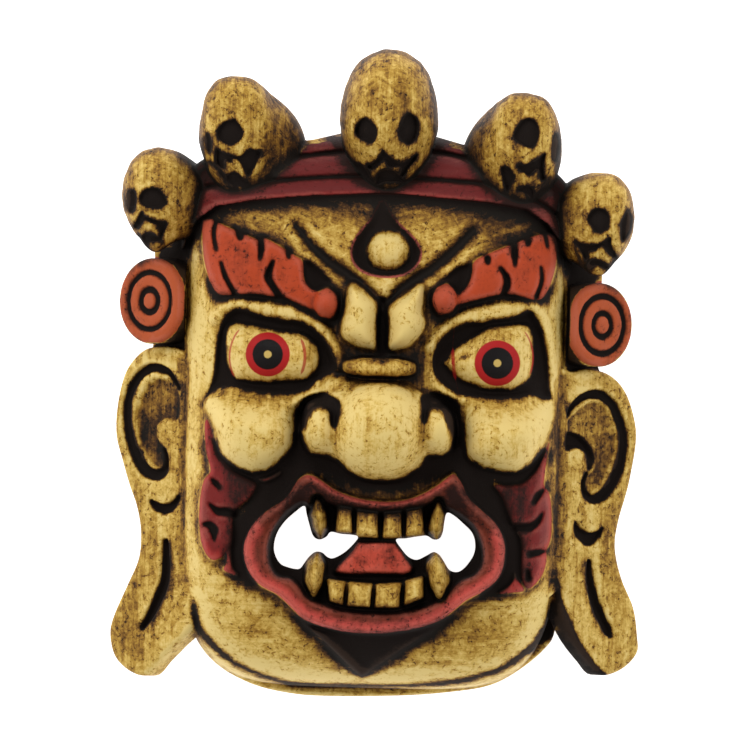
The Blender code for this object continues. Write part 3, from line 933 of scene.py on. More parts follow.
SKULLS = (
    Skull(
        centre=(0.0, 126.5, 60.0), radii=(23.2, 36.0, 36.0),
        holes=paths("""
            -17,121.5 -16,124.5 -14,127 -12,128 -9.5,126.5 -6.5,124 -5.5,121 -6,118 -7,116 -9,115
            -12.5,116.5 -15.5,118
            / 4.5,121.5 6.5,127 8.5,130 10.5,130.5 13,129 14.5,125.5 14.5,121 13.5,118 11.5,115.5
            9.5,115 6.5,117 5,119
            / -3.5,110.5 -2.5,112 -1,110.5 2,108 5,106 8,106.5 12,109.5 14.5,110.5 13.5,107.5
            10.5,103.5 8.5,100 7,98.5 5.5,99.5 6.5,103 5,104 1,103.5 -1,105.5 -2,107 -3.5,105.5
            -6,103 -9,102.5 -10.5,104.5 -8,105.5 -5.5,108
            / -16.5,105 -13,104.5 -10,101.5 -8.5,98.5 -6,96.5 -7,95.5 -9.5,97 -12.5,99.5 -15.5,102.5
            / -6,96.5 -5.5,100 -2,102.5 2,102.5 5,101 8,98 9.5,97 8.5,96 5.5,96.5 2,96.5 -2,96 -4,95
            -5.5,94.5
        """),
        taper=0.38, stain=0.34,
    ),
    Skull(
        centre=(-75.6, 117.8, 58.0), radii=(18.4, 29.8, 24.0),
        holes=paths("""
            -92,115.5 -91.5,118 -90,118.5 -88.5,115.5 -88,112 -88.5,109 -90,108.5 -91,110.5
            -92,113.5
            / -85.6,118 -84.6,121.4 -82,124 -78.8,124.8 -77,125.3 -75.8,124.2 -73.8,122 -72.5,118.8
            -73.2,116 -75.6,113.6 -78.8,112.6 -82,113.4 -84.6,115.4
            / -85.5,110.5 -82.5,109 -79,108 -76,107 -73.5,107.5 -70.5,110 -67,110.5 -63.5,109.5
            -64.5,106.5 -66,102.5 -67.5,100 -69.5,97.5 -71.5,99.5 -73,102.5 -74.5,104.5 -75.5,105.5
            -77.5,105.5 -78,104 -79.5,104 -81,105 -81.5,102.5 -81.5,100.5 -83.5,101 -85.5,103
            -86,106.5
            / -80.5,97 -78,99 -75,99 -72.5,97 -71,95 -69.5,94 -70,92.5 -72,91.5 -74.5,92 -75.5,90.5
            -77.5,92 -79.5,94
        """),
        cuts=lines("-89.5,104 -84.5,101 -81.5,96.5 -78.5,92.5 -75.5,90 : 0.8 1.6 1.8 1.8 1"),
        back=(-66.0, 109.0, 42.0), back_radii=(25.0, 29.0, 26.0), power=2.5, lean=-0.045,
        turned=0.5,
    ),
    Skull(
        centre=(66.8, 114.6, 58.0), radii=(18.0, 28.4, 24.0),
        holes=paths("""
            62.5,121 64,125 66.5,128.5 69,130 72.5,129 74.5,126 75,122 74,118 71.5,115.5 68.5,115.5
            66,117.5 63.5,119
            / 82,111.5 81.5,115.5 82,119.5 83.5,122.5 84.5,120 85,115.5 84,111.5 83,109
            / 64.5,106.5 69.5,107.5 74.5,110 78.5,113 78,108 78,103 79,100.5 77,99 75.5,101 75,104.5
            73,103.5 70.5,101.5 67.5,103 65.5,104.5
            / 56.5,105.5 60.5,105 62.5,102.5 63.5,100 62.5,97.5 61,94 60,92.5 58.5,96.5 57,100.5
            / 65,94 67,96 69.5,96.5 72,96 73.5,93 72.5,89.5 70,92 67.5,93.5
        """),
        cuts=lines("81,100.5 79,97 76.5,93.5 72.5,88 : 1 2.4 2.4 1"),
        back=(61.0, 108.0, 42.0), back_radii=(24.0, 27.5, 26.0), power=2.5, lean=0.045,
        stain=0.34,
    ),
    Skull(
        centre=(-115.8, 84.0, 45.0), radii=(15.6, 25.4, 20.0),
        holes=paths("""
            -130,86 -129.5,88 -128,89 -126,88.5 -125,85.5 -125,82 -126,79 -127.5,77.5 -129.5,79
            -130.5,82.5
            / -124,85.5 -122,88.5 -119.5,90 -115.5,90 -113,88.5 -111,85.5 -110,82.5 -112,81
            -114.5,80 -118.5,80 -121.5,81 -123.5,83
            / -122,78.5 -120.5,76.5 -117.5,75 -114,74 -109.5,73.5 -110,70 -111.5,67 -112,64.5
            -113.5,65.5 -113.5,68.5 -114.5,71.5 -117.5,73 -120.5,74 -122,72 -123.5,70.5 -125,69.5
            -126.5,71 -125,74 -123.5,76.5
            / -122,66 -120,68 -117,68 -114.5,66.5 -112,65 -111.5,63 -113,63.5 -117,63 -118.5,62
            -119,60 -120.5,62.5 -121.5,64
        """),
        cuts=lines("-124,67 -122,63.5 -119,59 : 1 2.4 2"),
        back=(-108.0, 86.0, 34.0), back_radii=(20.0, 21.5, 22.0), power=2.3, lean=-0.03,
    ),
    Skull(
        centre=(107.4, 77.8, 45.0), radii=(15.8, 25.6, 20.0),
        holes=paths("""
            100.5,80 101.5,83 104,85.5 107,86 110,84.5 111.5,81 111,77 109.5,75 107,74 104.5,75
            102.5,77.5
            / 117,75.5 117.5,80.5 119.5,84.5 121,85.5 122.5,82.5 122.5,77.5 120.5,73.5 119,70.5
            117.5,71.5
            / 93.5,70.5 97,69 101.5,68 106,68.5 109.5,70.5 112.5,72 113,68 115,64 116,61.5 114,62
            111.5,63.5 109.5,66.5 108,67.5 105.5,65.5 102,64.5 101.5,61 100.5,59.5 98.5,62.5 96.5,66
            94,68
            / 101,57.5 103,60.5 106.5,61 110,59 112,57 110,56 106.5,57.5 104,56.5 102,55
        """),
        cuts=lines("""
            94,67 96.5,62 98.5,57 101,53.5 : 1 1.8 2 1.4
            / 116,62.5 114,58.5 111.5,54.5 : 1 2 1.6
        """),
        back=(100.0, 80.0, 34.0), back_radii=(19.5, 21.0, 22.0), power=2.3, lean=0.04,
        stain=0.19,
    ),
)


@dataclass
class Slab:
    """A flat board that stands out from the side of the head, turned away from it.

    Its own places are (out, y): how far a point is out from the root along the board's front,
    and its y.
    """

    side: Side
    root: float
    root_z: float
    turn: float
    thickness: float

    def out(self, x: float | Array) -> float | Array:
        """How far out on the front a point is that is seen at x."""
        return (x - self.root) * self.side.value / math.cos(math.radians(self.turn))

    def flat(self, run: Run) -> Run:
        """A run seen from the front, as places on the board."""
        return tuple((self.out(x), y) for x, y in run)

    def local(self, axes: tuple[Array, Array, Array]) -> tuple[Array, Array]:
        """How far out and how far above the front each point is.

        Args:
            axes: x, y and z as open arrays.

        Returns:
            Two arrays over x and z.
        """
        cos, sin = math.cos(math.radians(self.turn)), math.sin(math.radians(self.turn))
        x, z = (axes[0] - self.root) * self.side.value, axes[2] - self.root_z
        return x * cos - z * sin, x * sin + z * cos


@dataclass
class Ear(Slab):
    """A long ear with a pierced lobe, and the wood that ties it to the head."""

    border: Run = ()
    groove: Run = ()
    concha: Run = ()
    canal: Run = ()
    crescent: Run = ()
    slot: Run = ()
    slot_widths: Sequence[float] = (3.2, 4.2, 4.8, 4.8, 4.4, 2.2)
    groove_widths: Sequence[float] = (1.4, 3.6, 4.4, 4.4, 4.4, 5.0, 6.0, 5.0, 3.0, 1.4)
    web: Run = ()
    web_depths: tuple[float, float] = (-7.0, 7.0)
    black_above: float = -200.0
    shades: tuple[Line, ...] = ()

    def carve(self, block: Block) -> None:
        """Joins the ear and the wood behind it to the block.

        Args:
            block: the wood.
        """
        board = Lattice(np.arange(-22, 56, 0.7), np.arange(-162, 82, 0.7))
        edge = board.outline(self.flat(self.border)) - 1.4
        lift = 1.8 * bulge(edge, 10.0) + 0.3 * board.noise(12, 31, 1.6)
        lift -= 2.6 * ramp(board.outline(self.flat(self.concha)), 3.0)
        lift -= 4.2 * ramp(board.stroke(self.flat(self.groove), self.groove_widths), 1.8)
        for cut in filter(None, (self.canal, self.crescent)):
            lift -= 4.0 * ramp(board.outline(self.flat(cut)), 1.6)
        lift -= 5.0 * ramp(board.stroke(self.flat(self.slot), self.slot_widths), 1.6)
        spans = (self.root + 50 * self.side.value, self.root - 20 * self.side.value)
        where, axes = block.window((min(spans), -160, -10), (max(spans), 80, 75))
        out, above = self.local(axes)
        out, above, y = np.broadcast_arrays(out, above, axes[1])
        raised = above - board.sample(lift, out, y).astype(np.float32)
        ear = rounded_slab(board.sample(edge, out, y), raised, self.thickness, 2.0)
        block.join(where, ear)
        web = board.sample(board.outline(self.web, soft=False), out, y)
        block.join(where, rounded_slab(web, above - self.web_depths[0], self.web_depths[1], 1.0))

    def paint(self, panel: Panel) -> None:
        """Blackens the ear's grooves and the wood behind it, darkens its concha and paints shade
        along the crease where it meets the face.

        Args:
            panel: the front of the head.
        """
        border = panel.outline(self.border)
        outward = (panel.across - self.root) * self.side.value
        beside = np.where(outward > -1.0, np.minimum(border, FAR), FAR)
        panel.feather(np.where(outward > -1.0, border - 4, FAR), fade=1.4, level=0.0)
        shown = (outward > 0.0) & (panel.tops > 0) & (panel.along > self.black_above)
        behind = np.where(shown, 2.2 - border, FAR)
        panel.blacken(behind.astype(np.float32))
        panel.blacken(panel.stroke(self.groove, self.groove_widths) + 0.3)
        for cut in filter(None, (self.canal, self.crescent)):
            panel.blacken(panel.outline(cut))
        panel.blacken(panel.stroke(self.slot, self.slot_widths))
        for run, widths in self.shades:
            panel.blacken(panel.stroke(run, widths))
        panel.stain(panel.outline(self.concha), fade=2, amount=0.18)
        panel.stain(beside, fade=0.5, amount=0.05)
        # Painted shade along the crease where the ear meets the face.
        crease = np.where(beside < 0, np.abs(outward), FAR).astype(np.float32)
        panel.stain(crease, fade=3.6, amount=0.34)


EARS = (
    Ear(
        Side.LEFT, root=-99.5, root_z=39.0, turn=35.0, thickness=13.0,
        border=path("""
            -84,0 -97,6.5 -106,9.5 -115,9.5 -121.5,6.5 -128,-2.5 -131.5,-18 -131.8,-33.5 -128.5,-46
            -124.5,-58.5 -120.5,-69 -118.2,-81.5 -118.8,-95.5 -124,-109 -130,-123.5 -132.3,-133
            -130,-144 -123,-150.8 -115,-152.8 -109,-146.2 -102,-138.5 -93.5,-129.5 -90,-121 -82,-112
        """),
        groove=path("""
            -101,-9.5 -106,-2.5 -111,0 -116,0 -121,-3.5 -125,-10 -127,-17.5 -127,-26 -125.5,-34.5
            -122.5,-42.5 -118.5,-49.5 -114,-53 -109.5,-53 -107,-50 -106.5,-45.5 -108,-40.5
        """),
        concha=path("""
            -102,-9.5 -108.5,-5.5 -115,-6.5 -119,-12.5 -122,-22 -121,-32 -119,-40 -115,-47
            -110.5,-50 -106.5,-49.5 -106,-44.5 -107.5,-40 -111,-35.5 -112,-31.5 -111.5,-28 -108,-25
            -101,-24.5
        """),
        crescent=path("""
            -114,-66 -108.5,-68 -103.5,-67 -99,-63 -101,-69 -105.5,-72.5 -109.5,-72 -113,-69.5
        """),
        slot=path("-105.7,-87 -105.4,-96.6 -105.8,-106.5 -108.4,-114.7 -112.2,-123.3 -116.2,-130"),
        web=path("-8,-24 24,-24 25,10 24.5,16 17,22 12,35 16,45 25,53 25.5,60 19,70 -8,72"),
        black_above=-139.0,
    ),
    Ear(
        Side.RIGHT, root=91.6, root_z=39.0, turn=35.0, thickness=13.0,
        border=path("""
            84,-4 97,2.5 105,4.5 115,1.5 122,-6 126.5,-18 127.8,-30.5 124.8,-51.5 120,-70.5
            118.8,-84 122.5,-99.5 129,-114 131.4,-128 131.4,-136 124.5,-143.5 115,-146.4 109,-140.5
            100.5,-130 94,-117 91.5,-105 84,-100
        """),
        groove=path("""
            93.5,-17.5 95,-14 99.5,-9.5 105,-7 110.5,-7.5 115.5,-11.5 118.5,-17 121,-23.5 122,-30
            121.5,-37 119.5,-45 116,-52.5 112,-57.5 107.5,-59.5 103.5,-57 102,-52 103.5,-46.5
        """),
        concha=path("""
            93.5,-20.5 97,-16 103.5,-11 109.5,-11 115,-15.5 118,-23.5 118.5,-32 116,-41 113,-48.5
            109.5,-54 105.5,-57 103.5,-54.5 104,-48.5 107,-44.5 107,-40.5 104,-35.5 100,-33.5
            95.5,-33.5 94,-30
        """),
        canal=path("""
            93,-27.5 96,-26.5 101,-28.5 105,-32.5 107.5,-38.5 106,-44 104.3,-44.5 103.8,-40.5
            103,-36.5 99,-33.8 93,-35
        """),
        crescent=path("""
            98.5,-71 101.5,-74.5 105.5,-76.5 110,-75.5 112.5,-73.5 111,-78.5 108,-82 105,-82.5
            101,-80 98.5,-76.5
        """),
        slot=path("106,-91 107,-101.3 110.6,-113.7 116,-124.5 118,-128"),
        slot_widths=(2.2, 4.0, 4.8, 4.6, 1.4),
        web=path("-8,-24 28,-24 28,3 25,9 19,14 15,30 18,40 27,47 27,55 23,66 -8,70"),
        shades=lines("""
            90.5,-98 91.3,-106 92,-112 94.5,-119 100.5,-131 108,-141.5 115,-147.5 : 0.8 2 3.6 5.4
            4.6 4.2 2.6
            / 90,-112 89.8,-121 86.5,-129.5 : 2 4.2 3
        """),
    ),
)


@dataclass
class Disc(Slab):
    """A round ear ornament with two rings cut into its face."""

    centre_y: float = 0.0
    radius: float = 21.0
    rings: tuple[tuple[float, float], ...] = ()
    head_side: float = 0.0

    def carve(self, block: Block) -> None:
        """Joins the disc to the block.

        Args:
            block: the wood.
        """
        reach = self.radius + 8
        low = (self.root - reach, self.centre_y - reach, self.root_z - 32)
        high = (self.root + reach, self.centre_y + reach, self.root_z + reach)
        where, axes = block.window(low, high)
        out, above = self.local(axes)
        away = np.hypot(out, axes[1] - self.centre_y)
        lift = 1.2 * bulge(away - self.radius, 9.0)
        for radius, width in self.rings:
            lift = lift - 1.8 * ramp(np.abs(away - radius) - width / 2, 1.6)
        disc = rounded_slab(away - self.radius, above - lift, self.thickness, 1.8)
        inward = (self.head_side - axes[0]) * self.side.value
        block.join(where, np.maximum(disc, inward))

    def paint(self, panel: Panel) -> None:
        """Paints the disc orange and its rings black.

        Args:
            panel: the front of the head.
        """
        axes = (panel.across, panel.along, panel.tops)
        out, above = self.local(axes)
        away = np.hypot(out, axes[1] - self.centre_y) - self.radius
        beyond = (self.head_side - axes[0]) * self.side.value
        own = np.maximum(np.minimum(away - 1.2, FAR), np.maximum(above - 4, -above - 3.5))
        own = np.maximum(own, beyond).astype(np.float32)
        panel.clean(own)
        panel.feather(own, fade=2.4, level=0.0)
        panel.redden(own, Tint.DISC)
        for radius, width in self.rings:
            ring = np.abs(away + self.radius - radius) - width / 2
            panel.blacken(np.maximum(np.minimum(ring, FAR), own).astype(np.float32))


DISCS = (
    Disc(
        Side.LEFT, root=-117.2, root_z=37.0, turn=42.0, thickness=17.0, centre_y=33.8,
        radius=21.5, rings=((14.25, 2.6), (5.7, 3.2)), head_side=-99.6,
    ),
    Disc(
        Side.RIGHT, root=109.4, root_z=37.0, turn=41.0, thickness=17.0, centre_y=28.0,
        radius=21.0, rings=((14.4, 3.0), (5.9, 2.8)), head_side=93.0,
    ),
)


@dataclass
class Brow:
    """A flaming eyebrow: a raised leaf with slots cut in it and a knob at its inner end."""

    outline: Run
    slots: tuple[Line, ...]
    knob: tuple[float, float]
    pocket: Run
    rim: Run
    lift: float = 9.0
    knob_radii: tuple[float, float] = (7.0, 7.8)
    slot_depth: float = 5.0

    def carve(self, panel: Panel) -> None:
        """Raises the brow from the forehead, cuts its slots and rounds its knob.

        Args:
            panel: the front of the head.
        """
        edge = panel.outline(self.outline)
        crown = self.lift - 2.2 + 2.2 * bulge(edge, 7.0) + 0.7 * panel.noise(6, seed=41)
        panel.raise_to(ramp(edge - 0.2, 1.4), crown)
        x, y = self.knob
        top = float(panel.sample(panel.base, np.array([x]), np.array([y]))[0]) + self.lift
        panel.swell(self.knob, self.knob_radii, (top - 8, top + 8.0), power=2.0, fillet=1.5)
        panel.cut(panel.outline(self.pocket), depth=3.0, edge=3.0)
        for run, widths in self.slots:
            slot = np.maximum(panel.stroke(run, widths), edge - 0.4)
            panel.cut(slot, depth=self.slot_depth, edge=1.4)

    def paint(self, panel: Panel) -> None:
        """Paints the brow orange-red and blackens its slots and the pocket beside it.

        Args:
            panel: the front of the head.
        """
        edge = panel.outline(self.outline)
        panel.blacken(panel.outline(self.pocket))
        panel.stain(edge, fade=5, amount=0.18)
        panel.blacken(np.maximum(np.abs(edge - 0.4) - 0.5, panel.along - 45))
        panel.clean(edge, red=False)
        panel.redden(edge, Tint.BROW)
        panel.feather(edge, fade=2.4, level=0.3)
        knob = panel.oval(self.knob, self.knob_radii)
        panel.clean(knob + 0.4, red=False)
        panel.redden(knob + 0.4, Tint.BROW)
        panel.clean(panel.stroke(self.rim, (0.8, 2.2, 1.2)))
        for run, widths in self.slots:
            panel.blacken(np.maximum(panel.stroke(run, widths), edge - 0.2))
        fold = unit(1 + edge / 4)
        panel.wash += (0.16 * fold - 0.04) * (edge < 0)


BROWS = (
    Brow(
        outline=path("""
            -92,74 -90,75 -87.5,75.5 -83.5,73.5 -75,70 -64.5,66 -60,66.5 -50.5,61.5 -45.5,58.5
            -41.5,56 -40.5,51 -40,46 -36.5,42 -33,41.5 -28.5,43 -24.5,39.5 -22.5,34 -24,29 -27.5,27
            -33.5,30 -41.5,33.5 -50,37.5 -55,37.5 -64.5,38.5 -74,38 -82.5,38 -87,44 -90,52.5
            -91.5,61.5
        """),
        slots=lines("""
            -85,75 -86,68 -84.5,60 : 1.8 1.8 0.8
            / -82,54 -80,48 -78,44 -73.5,36.5 : 0.8 1.6 1.6 2.4
            / -62.5,67.5 -62,61 -62.5,56 : 3 2.6 0.8
            / -56,55 -57.8,50 -58,46.5 -56,43 -51.5,36.5 : 1 2.8 3.4 3 3.4
            / -73,69 -72.6,67 : 4 3
            / -48.5,60 -48,57.2 : 2.6 1.2
        """),
        knob=(-29.0, 34.8),
        pocket=path("""
            -40.2,54.3 -37.6,55.1 -33.7,52.7 -29.9,49.1 -27.8,45.4 -31.7,43.5 -33.4,41 -36.7,42.7
            -38.6,46.4 -40.2,50.1
        """),
        rim=path("-33,40.6 -29.2,43.2 -25.4,42.4 -22.8,38.6"),
    ),
    Brow(
        outline=path("""
            44.5,58 52.5,62.5 68,69 77.5,72.5 83,72.5 85.5,69.5 85.5,57.5 82.5,46.5 77,39.5 62.5,42
            49,39.5 35.5,35 29,30.5 25.5,33 24.5,37 25.5,42 30.5,46.5 35,43 36,41 41.5,45.5 43.5,52
        """),
        slots=lines("""
            79.5,73 81,66 : 1.8 0.8
            / 64,67.5 64.5,62 65,56.5 : 3.2 3 0.8
            / 57.5,55 60.6,50.5 61,46 58.5,40 : 0.8 2.8 3.4 2.6
            / 78,56 78.5,49 76,41 : 0.8 1.6 2.2
            / 51,59.5 51.2,57.6 : 3.2 2
            / 71.2,69 71,67.6 : 2.8 2
        """),
        knob=(30.2, 38.4),
        pocket=path("""
            27.7,47 31.4,50.3 36.2,54.7 42.5,55.8 42.6,51.1 40.2,46.1 37.4,41.8 34,45.9 31.4,47.8
        """),
        rim=path("24,35 23.6,41 27,46.4 33,47"),
    ),
)


@dataclass
class Forehead:
    """The furrows of the forehead, the pads between the brows and the gem above them."""

    furrows: tuple[Line, ...] = lines("""
        -45.5,74 -44,72 -36,62.5 -28,55.5 -20,50.5 -11,43.5 -3.5,37 : 0.8 2.6 4 4.4 3.4 2.4
        / 43.5,74 42.5,72 35,64 25,54.5 14,47.5 8,43 3,37 : 0.8 3 4.6 4.4 3.6 2.6
    """)
    furrow_depth: float = 3.6
    pads: tuple[Run, ...] = paths("""
        -19,42 -16,46 -13,45 -5.5,39 -2.6,34.5 -2.8,24 -3,13 -8,12.2 -13.5,13.5 -20,17 -22,22
        -21,31.5
        / 2,34 12,42 18.5,46 20.5,39.5 20.2,32.5 21.5,26 19.5,20.5 13.5,14 6,12 2.4,13 2,22
    """)
    pad_lift: float = 20.0
    slot: Run = path("-0.6,37 -0.3,28 -0.4,18 -0.3,11")
    slot_widths: Sequence[float] = (1.8, 4.4, 4.2, 4.0)
    gem: Run = path("""
        -2.5,86.5 -7,77.5 -12.5,71 -16.2,64 -15.6,56.5 -10,51.2 0,49.3 9.5,50.8 15.5,55.5 17.2,61.5
        14.5,67.5 7,74.5 1.5,80.5
    """)
    boss: tuple[tuple[float, float], tuple[float, float]] = ((1.4, 61.8), (11.6, 10.8))
    gem_floor: float = 67.5

    def carve(self, panel: Panel) -> None:
        """Cuts the furrows and the gem's recess, and raises the pads and the gem.

        Args:
            panel: the front of the head.
        """
        for run, widths in self.furrows:
            furrow = panel.stroke(run, widths)
            panel.cut(furrow, depth=self.furrow_depth, edge=5.0)
            panel.lift += 1.4 * ramp(np.abs(furrow - 4.6) - 0.5, 5.0)
        for pad in self.pads:
            panel.mound(panel.outline(pad), width=9.0, lift=self.pad_lift)
        panel.cut(panel.stroke(self.slot, self.slot_widths), depth=4.0, edge=1.6)
        recess = panel.outline(self.gem)
        panel.lift += 1.2 * ramp(np.abs(recess - 1.6) - 0.2, 4.0)
        panel.level_to(ramp(recess + 1.0, 4.4), self.gem_floor)
        panel.swell(*self.boss, (62.0, 77.5), power=2.2, fillet=2.0)

    def paint(self, panel: Panel) -> None:
        """Blackens the furrows and the recess, with a red line round it, and stains the brow.

        Args:
            panel: the front of the head.
        """
        brow = panel.oval((-2.5, 66), (92, 30), 3.0)
        panel.feather(brow, fade=4.0, level=0.7)
        for run, widths in self.furrows:
            furrow = panel.stroke(run, widths)
            panel.blacken(furrow + 2.8)
            panel.stain(furrow, fade=9, amount=0.46)
            panel.stain(np.abs(furrow - 3.6) - 0.8, fade=2.0, amount=-0.30)
        slot = panel.stroke(self.slot, self.slot_widths)
        panel.blacken(slot)
        for pad in self.pads:
            edge = panel.outline(pad)
            panel.feather(edge, fade=2.4, level=0.0)
            panel.stain(edge, fade=0.5, amount=-0.10)
            panel.stain(np.abs(edge) - 0.8, fade=2.6, amount=0.20)
        recess = panel.outline(self.gem)
        boss = panel.oval(*self.boss)
        panel.feather(recess + 0.5, fade=3.0, level=0.0)
        panel.blacken(np.maximum(recess + 0.6, 0.8 - boss))
        under = unit(1 + boss / 5) * (panel.y < self.boss[0][1])
        panel.wash += np.where(boss < 0, 0.46 * under - 0.06, 0)
        panel.stain(np.where(recess > 0, recess, FAR), fade=7, amount=0.16)
        panel.redden(np.abs(recess - 0.4) - 0.6, Tint.GEM)
        panel.stain(recess, fade=9, amount=0.12)


@dataclass
class Eye:
    """A bulging eye in a dark socket, with its lids."""

    outline: Run
    socket: Run
    upper_lid: Run
    lower_lid: Run
    lift: float = 7.5
    sunk: float = 5.5
    lid_lift: float = 4.4
    lid_widths: Sequence[float] = (3.0, 4.4, 5.0, 5.0, 4.6, 3.4)

    def carve(self, panel: Panel) -> None:
        """Sinks the socket, raises the lids round it and rounds the eye in it.

        Args:
            panel: the front of the head.
        """
        socket = panel.outline(self.socket)
        eye = panel.outline(self.outline)
        lid = panel.stroke(self.upper_lid, self.lid_widths)
        panel.raise_to(ramp(lid - 1.0, 4.5), self.lid_lift)
        lower = panel.stroke(self.lower_lid, (1.0, 3.0, 3.4, 2.4))
        panel.raise_to(ramp(lower - 0.5, 4.0), 2.4)
        panel.raise_to(ramp(socket + 1.5, 4.0), -self.sunk)
        rise = -self.sunk + (self.lift + self.sunk) * bulge(eye, 13.0)
        panel.raise_to(ramp(eye - 0.3, 1.0), rise)

    def paint(self, panel: Panel) -> None:
        """Blackens the socket round the eye and paints the upper lid's shadow over its upper part.

        Args:
            panel: the front of the head.
        """
        socket, eye = panel.outline(self.socket), panel.outline(self.outline)
        panel.feather(socket - 3.0, fade=2.2)
        panel.blacken(np.maximum(socket + 0.6, -eye))
        panel.feather(eye, fade=3.2, level=0.0)
        # Painted shadow of the upper lid: darker over the eye's upper part, fading downwards.
        panel.stain(np.maximum(eye, 8 - panel.along), fade=6.0, amount=0.14)


EYES = (
    Eye(
        outline=path("""
            -79,20 -77,23 -73.5,24.5 -70,24 -64,23.5 -59,22.5 -54,21.5 -50,21 -45,20.5 -41,20
            -37.5,18.5 -34,15.5 -32,12 -31,8 -31.5,3.5 -34,-0.5 -37,-3.5 -41.5,-4.5 -48.5,-5
            -55.5,-6 -63.5,-6 -69.5,-5 -73.5,-4 -76,-0.5 -78,3.5 -79,9 -79.5,15
        """),
        socket=path("""
            -76,30.5 -73,31.5 -68.5,31 -61.5,28.5 -54.5,27.5 -50.5,26.5 -44.5,26.5 -38,24.5 -32,20.5
            -27,15 -24,8.5 -23,4 -24.5,1 -29.5,-2.5 -33.5,-5.5 -37.5,-9 -43,-11 -49,-11.5 -55,-11
            -63,-10.5 -70.5,-9.5 -75.5,-8.5 -81.5,-9.5 -86,-13 -90,-18 -87.5,-11.5 -85,-3.5 -84,5
            -83.5,12 -82.5,18 -81,23 -79,27.5
        """),
        upper_lid=path("""
            -84,26 -79,31.5 -73,34 -62,32 -51,30 -42,29 -35,25.5 -28,18.5 -23,10 -21.5,4
        """),
        lower_lid=path("-87,-14 -76,-13 -62,-13.5 -50,-13.5 -40,-12 -30,-6"),
    ),
    Eye(
        outline=path("""
            30,7 32,9 34.5,13.5 38,16.5 43.5,20 48.5,23 52.5,26 58.5,27 65.5,27.5 71,27.5 74,25.5
            75.5,21.5 76,16.5 76,9.5 75.5,4 73.5,-0.5 70.5,-3.5 65.5,-6 59,-6.5 52.5,-6.5 46,-4.5
            39.5,-2 36,0.5 32.5,4
        """),
        socket=path("""
            27.5,17 31,21.5 36,25 39.5,27 44,28 49.5,28 55.5,29.5 62,30.5 67,32.5 72,34.5 75,33
            77.5,29.5 79.5,25.5 81,19.5 82.5,12 83.5,4 84.5,-4 85.5,-10 80.5,-10.5 75.5,-8.5
            69.5,-9.5 62,-10.5 52.5,-10.5 45,-10 38.5,-9 33.5,-6.5 29,-3 25,2.5 24.5,10
        """),
        upper_lid=path("""
            86,2 84.5,12 82.5,22 79.5,30.5 75.5,36.5 70,36.5 58,33.5 46,31 37,28 29,22 23,14
        """),
        lower_lid=path("84,-13 72,-12 60,-13 48,-12.5 36,-10.5 27,-5"),
        lid_widths=(1.0, 1.6, 2.2, 2.6, 4.0, 5.2, 6.0, 5.6, 4.4, 2.6, 1.0),
    ),
)


